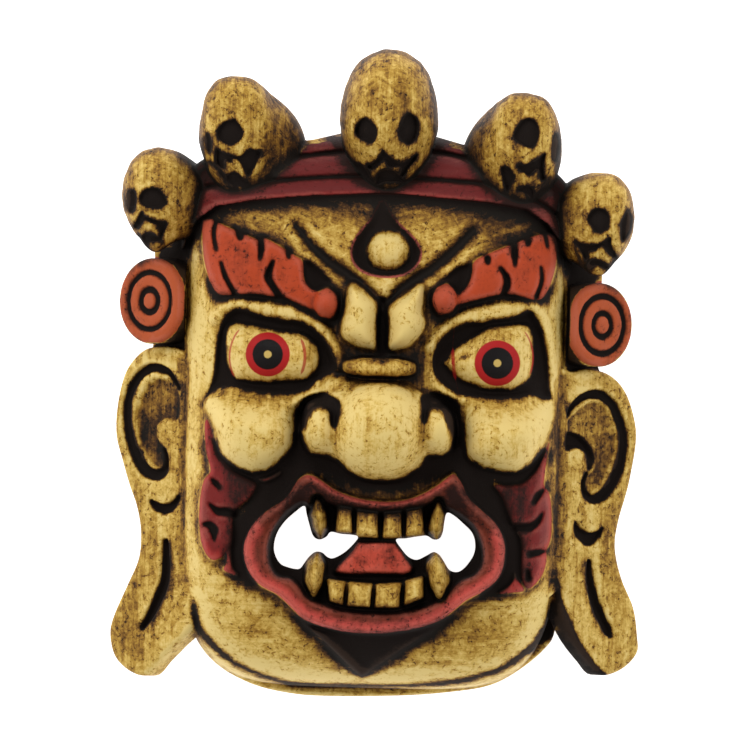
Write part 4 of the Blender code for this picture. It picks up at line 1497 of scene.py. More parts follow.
@dataclass
class Nose:
    """The bar between the eyes, the ball of the nose, its wings and the curled nostrils."""

    bridge: tuple[tuple[float, float], tuple[float, float]] = ((-1.5, 3.6), (18.5, 5.0))
    bridge_heights: tuple[float, float] = (82.0, 97.0)
    outline: Run = path("""
        -40,-23.5 -40,-27.5 -39,-33.5 -36,-39.5 -31.5,-41 -26.5,-42 -21,-44.5 -16,-48.5 -8.5,-52.5
        -3.5,-53.5 6,-53.5 13,-51.5 19.5,-47 22,-44 24.5,-41 29.5,-40 35,-38 36.5,-34 36,-29
        34,-23.5 31.5,-18.5 29.5,-12 19.5,-7.5 11.5,-3.5 -5,-2.5 -17.5,-3 -25,-7.5 -30.5,-10.5
        -37.5,-14.5
    """)
    swells: tuple[tuple, ...] = (
        ((-1.0, -28.0), (24.5, 25.0), (78.0, 120.0), 2.15, 8.0),
        ((-29.5, -28.0), (10.5, 13.0), (78.0, 104.0), 2.1, 6.0),
        ((28.0, -27.0), (9.6, 13.0), (78.0, 104.0), 2.1, 6.0),
    )
    lifts: tuple[float, float] = (15.0, 25.0)
    root: Run = path("""
        -48,-13.5 -40,-10.5 -33,-7.5 -26.5,-2 -21.5,-1 -17,-1.5 -14,-10.5 -21.5,-13 -30,-12
        -35.5,-13 -39,-15.5 -42.5,-19 -45.5,-21 -48.5,-19
    """)
    curls: tuple[Run, ...] = paths("""
        -40.5,-27.5 -41.5,-23 -41,-18 -39.5,-14.5 -35.5,-12 -30,-10.5 -24.5,-11.5 -21,-14.5
        -20.5,-18 -21.5,-23 -23,-26.5 -24.5,-24.5 -25.5,-20 -28,-17.5 -31,-17 -34,-18.5 -36.5,-22
        -37.5,-26 -38.5,-28
        / 20,-11 20.5,-16 21.5,-22.5 22.5,-20.5 23.5,-17.5 25.5,-16 29,-16.5 31.5,-19 33.5,-23.5
        36,-29.5 36.5,-34.5 39.5,-34.5 40,-26.5 39,-18.5 37.5,-13.5 33.5,-10.5 27.5,-9 23,-9.5
    """)
    curl_depth: float = 8.0
    shade: Run = path("-20,-1 -22,6 -21,11 -12,9.5 0,8.5 12,9 20,11 20,4 18,-1 8,-1.5 -8,-1.5")

    def carve(self, panel: Panel) -> None:
        """Joins the nose to the face.

        Args:
            panel: the front of the head.
        """
        low, high = self.lifts
        drop = ramp(panel.along + 12, 16)
        panel.mound(panel.outline(self.root), width=9.0, lift=9.0)
        panel.mound(panel.outline(self.outline), width=9.0, lift=low + (high - low) * drop)
        panel.swell(*self.bridge, self.bridge_heights, power=2.6, fillet=2.0)
        for swell in self.swells:
            panel.swell(*swell)
        for curl in self.curls:
            panel.cut(panel.outline(curl), depth=self.curl_depth, edge=2.2)

    def paint(self, panel: Panel) -> None:
        """Blackens the nostrils' curls and the wood round the nose.

        Args:
            panel: the front of the head.
        """
        outline = panel.outline(self.outline)
        low = np.where(panel.along < -30, outline, FAR).astype(np.float32)
        panel.clean(outline, red=False)
        panel.feather(outline, fade=2.8, level=0.0)
        panel.feather(panel.outline(self.root), fade=2.4)
        panel.blacken(np.maximum(low - 3.4, -low))
        panel.stain(np.abs(low) - 0.5, fade=4, amount=0.12)
        for curl in self.curls:
            panel.blacken(panel.outline(curl))
        bar = panel.oval(*self.bridge)
        shade = panel.outline(self.shade)
        panel.stain(np.maximum(shade, -bar), fade=5, amount=0.48)
        panel.stain(bar, fade=2, amount=0.26)


@dataclass
class Cheek:
    """A round cheek and the painted leaf that curls from under it down past the mouth."""

    outline: Run
    leaf: Run
    feet: tuple[Run, ...]
    slots: tuple[Line, ...]
    crease: Run
    lifts: tuple[float, float] = (8.0, 24.0)
    leaf_lift: float = 5.5
    slot_depth: float = 4.5

    def carve(self, panel: Panel) -> None:
        """Raises the leaf, then the cheek over it.

        Args:
            panel: the front of the head.
        """
        for run in (self.leaf, *self.feet):
            edge = panel.outline(run)
            crown = self.leaf_lift - 2.0 + 2.0 * bulge(edge, 6.0) + 0.5 * panel.noise(5, seed=51)
            panel.raise_to(ramp(edge - 0.3, 1.8), crown)
        for run, widths in self.slots:
            panel.cut(panel.stroke(run, widths), depth=self.slot_depth, edge=1.4)
        low, high = self.lifts
        lift = low + (high - low) * ramp(panel.along + 19, 22)
        panel.mound(panel.outline(self.outline), width=17.0, lift=lift, soft=1.6)

    def paint(self, panel: Panel) -> None:
        """Paints the leaf and the black that surrounds it and the cheek.

        Args:
            panel: the front of the head.
        """
        cheek = panel.outline(self.outline)
        feet = np.minimum.reduce([panel.outline(run) for run in self.feet])
        leaf = np.minimum(panel.outline(self.leaf), feet)
        panel.blacken(panel.outline(self.crease))
        low = panel.along < -34
        panel.blacken(np.where(low, np.abs(cheek - 1.8) - 2.0, FAR).astype(np.float32))
        panel.clean(leaf + 0.5, red=False)
        panel.feather(leaf, fade=3.0, level=0.0)
        outer = unit((np.abs(panel.across) - 71) / 9)
        worn = -4.0 + 5.4 * outer + 1.6 * ramp(panel.along + 84, 8) * outer
        panel.redden(leaf, Tint.LEAF, Tint.LEAF_EDGE, np.where(feet < 0, 3.0, worn))
        panel.wash += 0.62 * (1 - outer) ** 0.7 * ramp(leaf, 2.0) * (feet > 0)
        for run, widths in self.slots:
            panel.blacken(panel.stroke(run, widths))
        panel.stain(np.abs(leaf), fade=5, amount=0.34)
        panel.clean(cheek)
        panel.feather(cheek, fade=2.8, level=0.0)
        panel.stain(cheek, fade=1.0, amount=-0.05)


CHEEKS = (
    Cheek(
        outline=path("""
            -87.5,-14 -78,-11 -69.5,-11 -57,-11.5 -44.5,-11.5 -39.5,-11 -41,-14 -42.5,-19 -42.2,-24
            -41.4,-30 -43.5,-37.5 -48.5,-44 -54.5,-49 -62,-51.5 -67,-50.5 -74.5,-47.5 -80,-42.5
            -82.5,-36 -84.5,-28.5 -87,-21
        """),
        leaf=path("""
            -86.5,-24.5 -85,-28 -83.5,-30.5 -83,-35 -82,-39.5 -80,-43.5 -76.5,-46.5 -73,-49.5
            -68.5,-52 -62.5,-55 -61,-57 -62,-60 -65,-64 -68.5,-67 -71.5,-70 -72.5,-74 -72,-82
            -72.5,-87.5 -75.5,-91.5 -78.5,-94 -82,-95 -85.5,-92 -88,-86.5 -89,-79.5 -89.5,-74
            -89.5,-69 -89,-62 -87.5,-55 -84.5,-51 -85,-47 -86.5,-42 -87.5,-35.5 -88,-28 -87.5,-25
        """),
        feet=paths("""
            -75,-91.5 -73,-88 -72.5,-93.5 -71.5,-98.5 -69,-102 -72.5,-101.5 -76.5,-99.5 -75,-96
            / -62.5,-52 -59.5,-53.2 -56,-52.8 -51,-50.6 -49,-49.4 -51,-52 -56,-54.8 -59.5,-54.6
        """),
        slots=lines("""
            -83.5,-54.5 -81.5,-56.5 -79.6,-58.8 : 1 2.8 1.6
            / -84.2,-67 -80.3,-70.4 -76.1,-70.6 -71.6,-71.8 : 1 3.4 3.8 3
            / -87,-77.2 -83.9,-77.4 -81.8,-80 -81.5,-84.4 : 1.2 3.6 4.4 1.2
        """),
        crease=path("""
            -45,-22 -42,-33 -41,-38 -36,-42 -30,-44 -25,-46 -20,-50 -12,-55.5 -20,-54.4 -29,-50
            -36,-48.8 -41,-52 -45,-60 -52,-66 -60,-73 -65,-81 -67,-90 -66,-98 -62,-104.5 -68,-104
            -73,-98 -73,-88 -71.5,-77 -66,-70 -61.5,-64 -60,-57 -58,-52.5 -50,-49.5 -45.5,-40
            -44,-30
        """),
    ),
    Cheek(
        outline=path("""
            42,-15.5 41,-22 41.5,-31 43,-39.5 48.5,-44 56.5,-46.5 66,-47.5 72,-45.5 77,-41.5 81,-36
            83.5,-30 85.5,-24 87,-17.5 86.5,-12.5 84.5,-10 76,-10 63,-10 52.5,-10 44.5,-11.5
        """),
        leaf=path("""
            85.5,-29.5 84.5,-33.5 83.5,-40.5 83,-45.5 82.5,-53 85,-56.5 86.5,-62.5 87,-70 87,-77.5
            86,-82.5 84.5,-86 85,-89.5 84,-95.5 82,-99.5 78,-104 75,-104.5 72.5,-99.5 72,-94.5
            72,-87.5 71,-79.5 67.5,-74 64,-66 61.5,-59.5 57.5,-53.5 63.5,-53.5 70.5,-52.5 75.5,-49
            79,-44 81.5,-38.5 83.5,-33
        """),
        feet=paths("69,-96.5 70.5,-100 72,-102 74,-106 68.5,-107 61.5,-107.5 65.5,-104 68.5,-100"),
        slots=lines("""
            82.4,-55.3 79.8,-58 77.6,-61.8 : 1 3 1.8
            / 82,-67 79.6,-71.5 75.5,-74.3 68.5,-74.6 : 1 2.6 3.8 3.2
            / 83.6,-86 80,-86.8 76.5,-87.6 : 1 3.2 2.8
            / 75.5,-96 76,-100 : 1.6 2.4
        """),
        crease=path("""
            43,-20 41,-30 38.5,-37 32,-42 26,-46.5 18,-50.5 9,-55.5 19,-55 28,-50 36,-46.4 41,-51
            44,-59 51,-66 58.5,-73 62.5,-81 63.5,-91 61,-100 54,-107.5 61,-107 68,-104 71.5,-98
            71.5,-88 72.5,-80 68,-72 63,-63.5 58,-54.5 51,-46.5 45,-40 43,-32
        """),
    ),
)


@dataclass
class Mouth:
    """The open mouth: lips, teeth, fangs, tongue and the two holes through the mask."""

    lips: Run = path("""
        -37,-51.2 -33,-51.4 -29,-53.4 -21,-58.5 -10,-62 1.5,-63.2 11,-62.6 20,-59.8 29,-54.5
        36,-48.8 38.5,-49.5 41.5,-53.5 44.5,-59.5 51,-65.8 58,-71.8 62.5,-79 64,-86.5 63,-95
        59.5,-101.5 52.5,-107.3 45,-111.5 39.5,-116.3 32,-122 20,-126.3 5.5,-128.9 -7.5,-129.3
        -18,-128.4 -28,-126 -36,-122.8 -42,-117.5 -49,-111.3 -57,-107.3 -62.5,-102 -66,-94.5
        -66.6,-87 -64.5,-80.5 -60.5,-74.2 -54.5,-68.8 -49,-65.2 -44.5,-60.5 -41,-54.5
    """)
    opening: Run = path("""
        -38.8,-65.5 -34,-66.5 -29.5,-63.5 -25,-64.8 -15,-67.5 -4.5,-69.2 7,-69 15.5,-67.5 24,-64.5
        30,-62 35,-66 40.5,-69 47,-74.2 50.5,-80 52.5,-87 52,-93.5 48.5,-98.5 42,-101.5 37.5,-105.5
        31.5,-111.5 23,-115.5 11.5,-118 0,-118.8 -14,-118 -25,-115.5 -34,-111.8 -38.5,-106
        -43,-102.8 -49,-101.5 -52.8,-96.5 -54,-89.5 -53,-82.5 -50,-76.5 -45.5,-70.8
    """)
    lift: float = 15.0
    inner_drop: float = 8.0
    floor: float = 66.0
    upper_teeth: tuple[Run, ...] = paths("""
        -20.2,-66.5 -12.8,-67 -12.4,-79.6 -20.8,-79.6
        / -11.2,-67.5 0.2,-69 0.6,-81.7 -11,-81.2
        / 2.6,-69 12,-67.8 12.4,-81.2 2.2,-81.7
        / 13.6,-67 21.8,-66 23.2,-79.7 13.8,-80.8
    """)
    lower_teeth: tuple[Run, ...] = paths("""
        -24.6,-102.6 -15.2,-103.8 -16.2,-115.6 -22.8,-113.6
        / -13.8,-103.8 -1.7,-104.4 -2.6,-116.2 -14.4,-115.8
        / -0.2,-104.6 12.8,-103.4 11.8,-116 -0.8,-116.2
        / 14.4,-102.4 23.2,-100.2 23.4,-110.5 14,-115
    """)
    tooth_tops: tuple[float, float] = (86.5, 86.0)
    fangs: tuple[tuple[Run, Sequence[float], float], ...] = (
        (path("-30.5,-64 -29.6,-71 -28.8,-76.5 -28.5,-82.8"), (6.5, 9.6, 8.4, 1.4), 87.0),
        (path("30,-63 30,-69.5 29.2,-75.5 29.6,-82"), (5.0, 8.8, 10.0, 1.4), 87.0),
        (path("-31,-111 -31,-103.5 -30.5,-96.5 -29.6,-88.8"), (4.0, 11, 10.8, 1.6), 88.0),
        (path("32,-109.5 31.4,-102 30.2,-95 29,-87.4"), (5.5, 12.4, 12.0, 1.6), 88.0),
    )
    tongue: Run = path("""
        -10,-83.5 9,-82.5 12,-86.5 15,-91.5 18,-95.5 17.5,-98.5 13.5,-100 -0.5,-99.5 -11.5,-100.5
        -19.5,-100 -21,-99 -19,-95.5 -15,-91.5 -11.5,-86.5
    """)
    tongue_top: float = 79.0
    holes: tuple[Run, ...] = paths("""
        -37,-66.5 -41.5,-69.8 -46.5,-74.6 -50.2,-80.5 -51.6,-86.5 -51,-91.3 -48.2,-95.8 -44,-97.6
        -38.8,-98.2 -36.3,-95.2 -34,-92 -30.8,-89.4 -27.5,-89.6 -24.8,-91.8 -22,-92.4 -17.6,-90.2
        -13.6,-86.8 -9.6,-81.6 -12,-80.4 -18,-80 -23.4,-79.2 -25.4,-81.6 -29,-83.2 -32.2,-81.4
        -34.2,-75.8 -35.8,-70.4
        / 34.4,-68 38,-69.4 42,-72.6 47,-77.4 48.9,-82.6 48.4,-88.4 45.4,-93.6 42.2,-96.8 39.2,-97.6
        36.2,-96.4 33.8,-92.8 31.2,-89.2 28.3,-87.8 24.6,-89.8 20,-92 15.8,-90.6 12.2,-86.8 9.2,-82
        14,-81.4 20,-80.2 24.6,-79.8 28,-81.6 31.2,-80.8 32.6,-77.4 33.2,-72.4
    """)

    def carve(self, panel: Panel) -> None:
        """Raises the lips, opens the mouth and sets the teeth, fangs and tongue in it.

        Args:
            panel: the front of the head.
        """
        lips, opening = panel.outline(self.lips), panel.outline(self.opening)
        slope = unit(opening / np.maximum(opening - lips, 0.5))
        crown = self.lift - self.inner_drop * (1 - slope) ** 1.3 + 0.5 * panel.noise(5, seed=61)
        crown -= 3.5 * unit(1 + lips / 2.4) ** 2
        panel.raise_to(ramp(lips - 0.3, 2.6), crown)
        panel.level_to(ramp(opening, 2.0), self.floor)
        tongue = panel.outline(self.tongue, soft=False)
        ridge = 4.0 * unit(1 - np.abs(panel.across + 1.5) / 9.0)
        slope = 0.16 * np.clip(panel.along + 106, 0, 30)
        panel.level_to(ramp(tongue, 2.4), self.tongue_top - 4 + ridge + slope)
        for run, top in self.each_tooth():
            edge = panel.outline(run, soft=False) - 0.5
            rise = bulge(edge - 0.5, 3.0)
            panel.level_to(ramp(edge, 0.9), self.floor + (top - self.floor) * rise)
        for run, widths, top in self.fangs:
            edge = panel.stroke(run, widths)
            rise = np.sqrt(unit(-edge / 4.6))
            panel.level_to(ramp(edge, 0.9), self.floor + (top - self.floor) * rise)

    def each_tooth(self) -> list[tuple[Run, float]]:
        """Each tooth's outline and the height of its top."""
        rows = zip((self.upper_teeth, self.lower_teeth), self.tooth_tops)
        return [(run, top) for row, top in rows for run in row]

    def pierce(self, block: Block) -> None:
        """Cuts the two holes through the mask."""
        for hole in self.holes:
            block.cut((...,), block.panel.outline(hole)[:, :, None])

    def paint(self, panel: Panel) -> None:
        """Paints the lips and tongue red, the mouth black and the teeth bone.

        Args:
            panel: the front of the head.
        """
        lips, opening = panel.outline(self.lips), panel.outline(self.opening)
        beard = panel.oval((0, -60), (38, 9.5), 3.0)
        panel.feather(np.maximum(beard, -lips), fade=2.4)
        panel.stain(np.maximum(beard, 0), fade=3, amount=0.24)
        panel.stain(np.where(panel.y > -66, np.abs(lips - 1.4) - 0.8, FAR), fade=3.0, amount=-0.34)
        panel.stain(lips, fade=8, amount=0.30)
        panel.clean(lips, red=False)
        panel.feather(lips, fade=3.0, level=0.4)
        lower = ramp(panel.along + 68, 8)
        corner = (1 - ramp(np.abs(panel.across) - 36, 5)) * (1 - ramp(panel.along + 76, 8))
        worn = (2.2 + 3.4 * lower) * (1 - corner) - 0.3 * corner
        panel.wash += 0.30 * corner * ramp(lips + 1.5, 2.0)
        panel.redden(lips, Tint.LIP, Tint.LIP_EDGE, worn)
        panel.blacken(opening)
        tongue = panel.outline(self.tongue, soft=False)
        panel.clean(tongue, red=False)
        panel.red = np.where(tongue < 0, tongue, panel.red)
        panel.tint[tongue < 1.5] = Tint.TONGUE.value
        root = unit(1 + opening / 4.5) * ramp(np.abs(panel.across) - 27, 2)
        bone = [panel.outline(run, soft=False) - 0.5 for run, _ in self.each_tooth()]
        bone += [panel.stroke(run, widths) for run, widths, _ in self.fangs]
        for edge in bone:
            panel.feather(edge - 0.8, fade=1.1, level=0.0)
            near = edge < 1.6
            panel.black[near] = np.maximum(panel.black, 0.9 - edge)[near]
            panel.red[near] = np.maximum(panel.red, 0.9 - edge)[near]
        whole = np.minimum.reduce(bone)
        panel.wash += (0.40 * root + 0.30 * unit(1 + whole / 1.6) ** 1.5) * (whole < 1.2)


@dataclass
class Chin:
    """The black goatee with its keel, and the jaw's groove above the rim."""

    goatee: Run = path("""
        -37,-123.5 -30,-128 -18,-129.5 0,-129.8 20,-127 34,-122.5 28,-128 22.5,-131.5 9,-141 -6,-152
        -20,-139 -34.5,-126
    """)
    keel: Run = path("-36,-124 -20,-138 -6,-151")
    lift: float = 3.2
    keel_lift: float = 3.4
    jaw: Run = path("""
        -91,-118 -90,-124 -88,-129.5 -82,-136.5 -73.5,-144 -62.5,-149.8 -50.5,-153.8 -39,-156
        -18.5,-156.2 0,-156 20,-155 38,-153 53,-149.5 66,-144.2 77,-136 84,-127.8 89,-118.5 90,-112
    """)
    jaw_widths: Sequence[float] = (2.4, 2.6, 2.4, 2.0, 1.8, 1.8, 2.0, 2.6, 3.6, 3.4)

    def carve(self, panel: Panel) -> None:
        """Raises the goatee and its keel from the chin.

        Args:
            panel: the front of the head.
        """
        edge = panel.outline(self.goatee, soft=False)
        panel.raise_to(ramp(edge, 3.0), self.lift)
        keel = panel.stroke(self.keel, (1.0, 2.0, 1.0))
        panel.lift += self.keel_lift * unit(1 - np.maximum(keel, 0) / 5.0) * ramp(edge, 3)

    def paint(self, panel: Panel) -> None:
        """Blackens the goatee and stains the wood round it and along the jaw.

        Args:
            panel: the front of the head.
        """
        goatee = panel.outline(self.goatee, soft=False)
        chin = np.where(panel.along < -96, np.abs(panel.oval((-2.5, -110), (92, 55))) - 60, FAR)
        panel.feather(chin, fade=7.0, level=0.75)
        panel.blacken(goatee)
        panel.stain(goatee, fade=12, amount=0.16)
        jaw = panel.stroke(self.jaw, self.jaw_widths)
        panel.feather(jaw - 6, fade=2.4, level=0.9)
        panel.blacken(jaw + 0.4)
        panel.stain(jaw, fade=3, amount=0.16)
        panel.stain(np.abs(jaw - 3.4) - 1.6, fade=1.5, amount=-0.20)


@dataclass
class GougeMarks:
    """The marks of a round-nosed gouge, over the wall of the hollow."""

    head: HeadBlock
    spacing: float = 8.5
    length: float = 9.0
    width: float = 5.0
    depth: float = 1.5
    seed: int = 7
    steps: tuple[int, int] = (72, 24)

    def wall(self) -> bpy.types.Object:
        """The hollow's wall as a mesh.

        Returns:
            The mesh object, as large as the hollow.
        """
        turns, rises = self.steps
        turn = np.linspace(0, 2 * math.pi, turns, endpoint=False)[:, None]
        rise = np.linspace(0.12, math.pi / 2 - 0.05, rises)[None, :]
        outline, profile = 2 / self.head.outline_power, 2 / self.head.dome_power
        wide, tall, deep = (radius - self.head.wall for radius in self.head.radii)
        flat = np.cos(rise) ** profile
        x = np.sign(np.cos(turn)) * np.abs(np.cos(turn)) ** outline * flat * wide
        y = np.sign(np.sin(turn)) * np.abs(np.sin(turn)) ** outline * flat * tall
        z = np.sin(rise) ** profile * deep + 0 * turn
        points = np.stack([x + self.head.centre[0], y + self.head.centre[1], z], -1).reshape(-1, 3)
        i, j = np.meshgrid(np.arange(turns), np.arange(rises - 1), indexing="ij")
        one, two = i * rises + j, (i + 1) % turns * rises + j
        faces = np.stack([one, two, two + 1, one + 1], -1).reshape(-1, 4)
        return mesh_object("hollow_wall", points * MM, faces)

    def tree(self) -> bpy.types.NodeTree:
        """The node tree that sets a gouge mark at each of many places on a surface.

        Returns:
            The tree, with an input for each size.
        """
        tree = bpy.data.node_groups.new("gouge_marks", "GeometryNodeTree")
        face = tree.interface
        for name, kind in (
            ("Wall", "Geometry"), ("Spacing", "Float"), ("Length", "Float"), ("Width", "Float"),
            ("Depth", "Float"), ("Seed", "Int"), ("Material", "Material"),
        ):
            face.new_socket(name, in_out="INPUT", socket_type=f"NodeSocket{kind}")
        face.new_socket("Marks", in_out="OUTPUT", socket_type="NodeSocketGeometry")
        entry, leave = tree.nodes.new("NodeGroupInput"), tree.nodes.new("NodeGroupOutput")
        scatter = tree.nodes.new("GeometryNodeDistributePointsOnFaces")
        scatter.distribute_method = "POISSON"
        scatter.inputs["Density Max"].default_value = 60_000.0
        ball = tree.nodes.new("GeometryNodeMeshIcoSphere")
        ball.inputs["Radius"].default_value = 1.0
        ball.inputs["Subdivisions"].default_value = 2
        size = tree.nodes.new("ShaderNodeCombineXYZ")
        lay = tree.nodes.new("GeometryNodeInstanceOnPoints")
        real = tree.nodes.new("GeometryNodeRealizeInstances")
        dress = tree.nodes.new("GeometryNodeSetMaterial")
        for source, output, target, socket in (
            (entry, "Wall", scatter, "Mesh"), (entry, "Spacing", scatter, "Distance Min"),
            (entry, "Seed", scatter, "Seed"), (entry, "Width", size, "X"),
            (entry, "Length", size, "Y"), (entry, "Depth", size, "Z"),
            (scatter, "Points", lay, "Points"), (scatter, "Rotation", lay, "Rotation"),
            (ball, "Mesh", lay, "Instance"), (size, "Vector", lay, "Scale"),
            (lay, "Instances", real, "Geometry"), (real, "Geometry", dress, "Geometry"),
            (entry, "Material", dress, "Material"), (dress, "Geometry", leave, "Marks"),
        ):
            tree.links.new(source.outputs[output], target.inputs[socket])
        return tree

    def distances(self, panel: Panel, finish: bpy.types.Material) -> Array:
        """Distances from the marks, over the whole lattice.

        Args:
            panel: the lattice.
            finish: the material that the tree sets.

        Returns:
            A distance for each point, negative inside a mark.
        """
        wall = self.wall()
        marks = wall.modifiers.new("marks", "NODES")
        marks.node_group = self.tree()
        values = {
            "Spacing": self.spacing * MM, "Length": self.length * MM, "Width": self.width * MM,
            "Depth": self.depth * MM, "Seed": self.seed, "Material": finish,
        }
        for item in marks.node_group.interface.items_tree:
            if item.name in values:
                marks[item.identifier] = values[item.name]
        return lattice_distances(as_plain_mesh(wall, "gouge_marks"), panel)


def lattice_distances(obj: bpy.types.Object, panel: Panel) -> Array:
    """Distances from a closed mesh, over the whole lattice.

    Args:
        obj: the mesh object, of triangles, which is removed.
        panel: the lattice.

    Returns:
        A distance for each point, negative inside, even near the surface.
    """
    data = obj.data
    points = np.empty(len(data.vertices) * 3, np.float32)
    data.vertices.foreach_get("co", points)
    faces = np.empty(len(data.polygons) * 3, np.int32)
    data.polygons.foreach_get("vertices", faces)
    low = np.array([axis[0] for axis in (panel.x, panel.y, panel.z)])
    grid = openvdb.FloatGrid.createLevelSetFromPolygons(
        ((points.reshape(-1, 3) / MM - low) / STEP).astype(np.float32),
        triangles=faces.reshape(-1, 3).astype(np.uint32), halfWidth=3.0,
    )
    values = np.empty((*panel.shape, len(panel.z)), np.float32)
    grid.copyToArray(values, ijk=(0, 0, 0))
    values *= STEP
    bpy.data.objects.remove(obj)
    return values


# Patches where the brown is left heavier or lighter: x, y, two radii and how much. Those round the
# edges of the eyes, under their lids, are painted shade.
STAIN_AND_SHADE_PATCHES = (
    (0, 84, 85, 7, 0.30), (-22, 76, 10, 12, 0.16), (60, 78, 30, 12, 0.52), (22, 56, 10, 8, 0.22),
    (-24, 56, 10, 8, 0.22), (0, 45, 7, 5, -0.20), (0, 80, 60, 5, 0.20), (-36, 10, 4, 6, 0.22),
    (-50, -3.5, 12, 2.6, 0.20), (-44, 20, 8, 2.6, 0.14), (35, 8, 4, 6, 0.22),
    (50, -4, 12, 2.6, 0.16), (-58, -33, 11, 9, 0.12), (-50, -20, 8, 6, 0.08),
    (70, -34, 8, 9, 0.10), (-9, -22, 5, 10, 0.13), (10, -36, 7, 5, 0.10), (-33, -37, 5, 5, 0.12),
    (-17, 36, 4, 7, 0.10), (-60, -128, 9, 5, 0.30), (-30, -142, 14, 3, 0.16),
    (48, -126, 16, 5, 0.20), (30, -145, 16, 4, 0.10), (90, 34, 9, 44, -0.14),
    (-92, 34, 7, 44, -0.12), (-60, 70, 20, 9, 0.14), (-60, 78, 26, 6, 0.16), (-24, 45, 5, 4, 0.35),
    (-20, 26, 3, 12, 0.28), (-62, -12.5, 22, 3.2, 0.34), (62, -11.5, 22, 3.2, 0.28),
    (50, 23, 16, 4, 0.26), (-44, -62, 7, 7, 0.45), (41, -62, 7, 8, 0.36), (-24, -62, 10, 5, 0.20),
    (-95, 10, 5, 60, 0.08), (90, 10, 6, 60, 0.12), (-118, -110, 14, 50, 0.12),
    (117, -60, 12, 80, 0.14), (50, -135, 34, 16, 0.16), (-118.5, -31, 3.6, 9, 0.60),
    (-109, -43, 4, 9, 0.45), (-108, -20, 7, 8, 0.26), (-122, -134, 8, 14, 0.20),
    (-104, -110, 4, 30, 0.12), (106, -40, 5, 10, 0.20), (-45, -138, 30, 12, 0.06),
)


def operator(operation: str) -> Callable[["Wire", Any], "Wire"]:
    """A wire's method that adds a Math node of one operation."""
    return lambda wire, other: wire.math(operation, other)


class Wire:
    """A shader socket that Python's operators work on."""

    def __init__(self, shader: "Shader", socket: bpy.types.NodeSocket) -> None:
        """Keeps the socket and the tree that it is in."""
        self.shader = shader
        self.socket = socket

    def math(self, operation: str, *values: Any) -> "Wire":
        """A Math node of one operation on this socket and other values."""
        inputs = dict(enumerate((self, *values)))
        return self.shader.node("ShaderNodeMath", {"operation": operation}, inputs)

    def __rsub__(self, other: Any) -> "Wire":
        """The difference the other way round."""
        return self * -1.0 + other

    __add__ = __radd__ = operator("ADD")
    __mul__ = __rmul__ = operator("MULTIPLY")
    __sub__ = operator("SUBTRACT")
    at_least = operator("MAXIMUM")
    at_most = operator("MINIMUM")
    power = operator("POWER")

    def step(self, low: float, high: float) -> "Wire":
        """A soft step: nothing below low, one above high, or the other way round.

        Args:
            low: where it starts.
            high: where it ends.

        Returns:
            A wire from 0 to 1.
        """
        return self.shader.node(
            "ShaderNodeMapRange", {"interpolation_type": "SMOOTHSTEP"},
            {"Value": self, "From Min": low, "From Max": high},
        )


class Shader:
    """A material's node tree."""

    def __init__(self, name: str) -> None:
        """Starts a material with an empty tree.

        Args:
            name: the material's name.
        """
        self.material = bpy.data.materials.new(name)
        self.material.use_nodes = True
        self.tree = self.material.node_tree
        self.tree.nodes.clear()

    def node(
        self, kind: str, settings: dict[str, Any] | None = None,
        inputs: dict[str | int, Any] | None = None, output: str | int = 0,
    ) -> Wire:
        """Adds a node.

        Args:
            kind: its type.
            settings: what is set on it first; "stops" are a colour ramp's.
            inputs: values or wires for its sockets.
            output: the socket to return.

        Returns:
            That output, as a wire.
        """
        made = self.tree.nodes.new(kind)
        for key, value in (settings or {}).items():
            if key == "stops":
                self.set_stops(made.color_ramp, value)
            else:
                setattr(made, key, value)
        for key, value in (inputs or {}).items():
            if isinstance(value, Wire):
                self.tree.links.new(value.socket, made.inputs[key])
            else:
                made.inputs[key].default_value = value
        return Wire(self, made.outputs[output] if made.outputs else None)

    @staticmethod
    def set_stops(ramp_: bpy.types.ColorRamp, stops: Sequence[tuple[float, Colour]]) -> None:
        """Sets a colour ramp's stops, from its start.

        Args:
            ramp_: the ramp.
            stops: a place and a colour for each.
        """
        while len(ramp_.elements) < len(stops):
            ramp_.elements.new(1.0)
        for element, (place, colour) in zip(ramp_.elements, stops):
            element.position = place
            element.color = (*colour, 1.0)

    def attribute(self, name: str, output: str = "Fac") -> Wire:
        """One of the piece's own attributes.

        Args:
            name: its name.
            output: which of its forms.

        Returns:
            Its value at each point.
        """
        return self.node(
            "ShaderNodeAttribute", {"attribute_type": "GEOMETRY", "attribute_name": name},
            output=output,
        )

    def stretched(self, vector: Wire, by: Colour) -> Wire:
        """A vector multiplied along each axis."""
        return self.node("ShaderNodeVectorMath", {"operation": "MULTIPLY"}, {0: vector, 1: by})

    def noise(
        self, vector: Wire, size: float, detail: float = 3.0, rough: float = 0.5, warp: float = 0.0
    ) -> Wire:
        """Noise from 0 to 1, with highs and lows some size apart.

        Args:
            vector: where it is read.
            size: how far apart its highs are.
            detail: how many finer layers it has.
            rough: how strong they are.
            warp: how twisted it is.

        Returns:
            A value at each point.
        """
        inputs = {
            "Vector": vector, "Scale": 1 / size, "Detail": detail, "Roughness": rough,
            "Distortion": warp,
        }
        return self.node("ShaderNodeTexNoise", {"noise_dimensions": "3D"}, inputs)

    def ramp(self, value: Wire, stops: Sequence[tuple[float, Colour]]) -> Wire:
        """A colour for a value from 0 to 1."""
        return self.node("ShaderNodeValToRGB", {"stops": stops}, {"Fac": value})

    def mix(self, share: Any, one: Any, other: Any) -> Wire:
        """One colour, and the other by some share.

        Args:
            share: how much of the other.
            one: a colour.
            other: another.

        Returns:
            The mixed colour.
        """
        one, other = ((*c, 1.0) if isinstance(c, tuple) else c for c in (one, other))
        return self.node(
            "ShaderNodeMix", {"data_type": "RGBA"}, {0: share, 6: one, 7: other}, output=2
        )


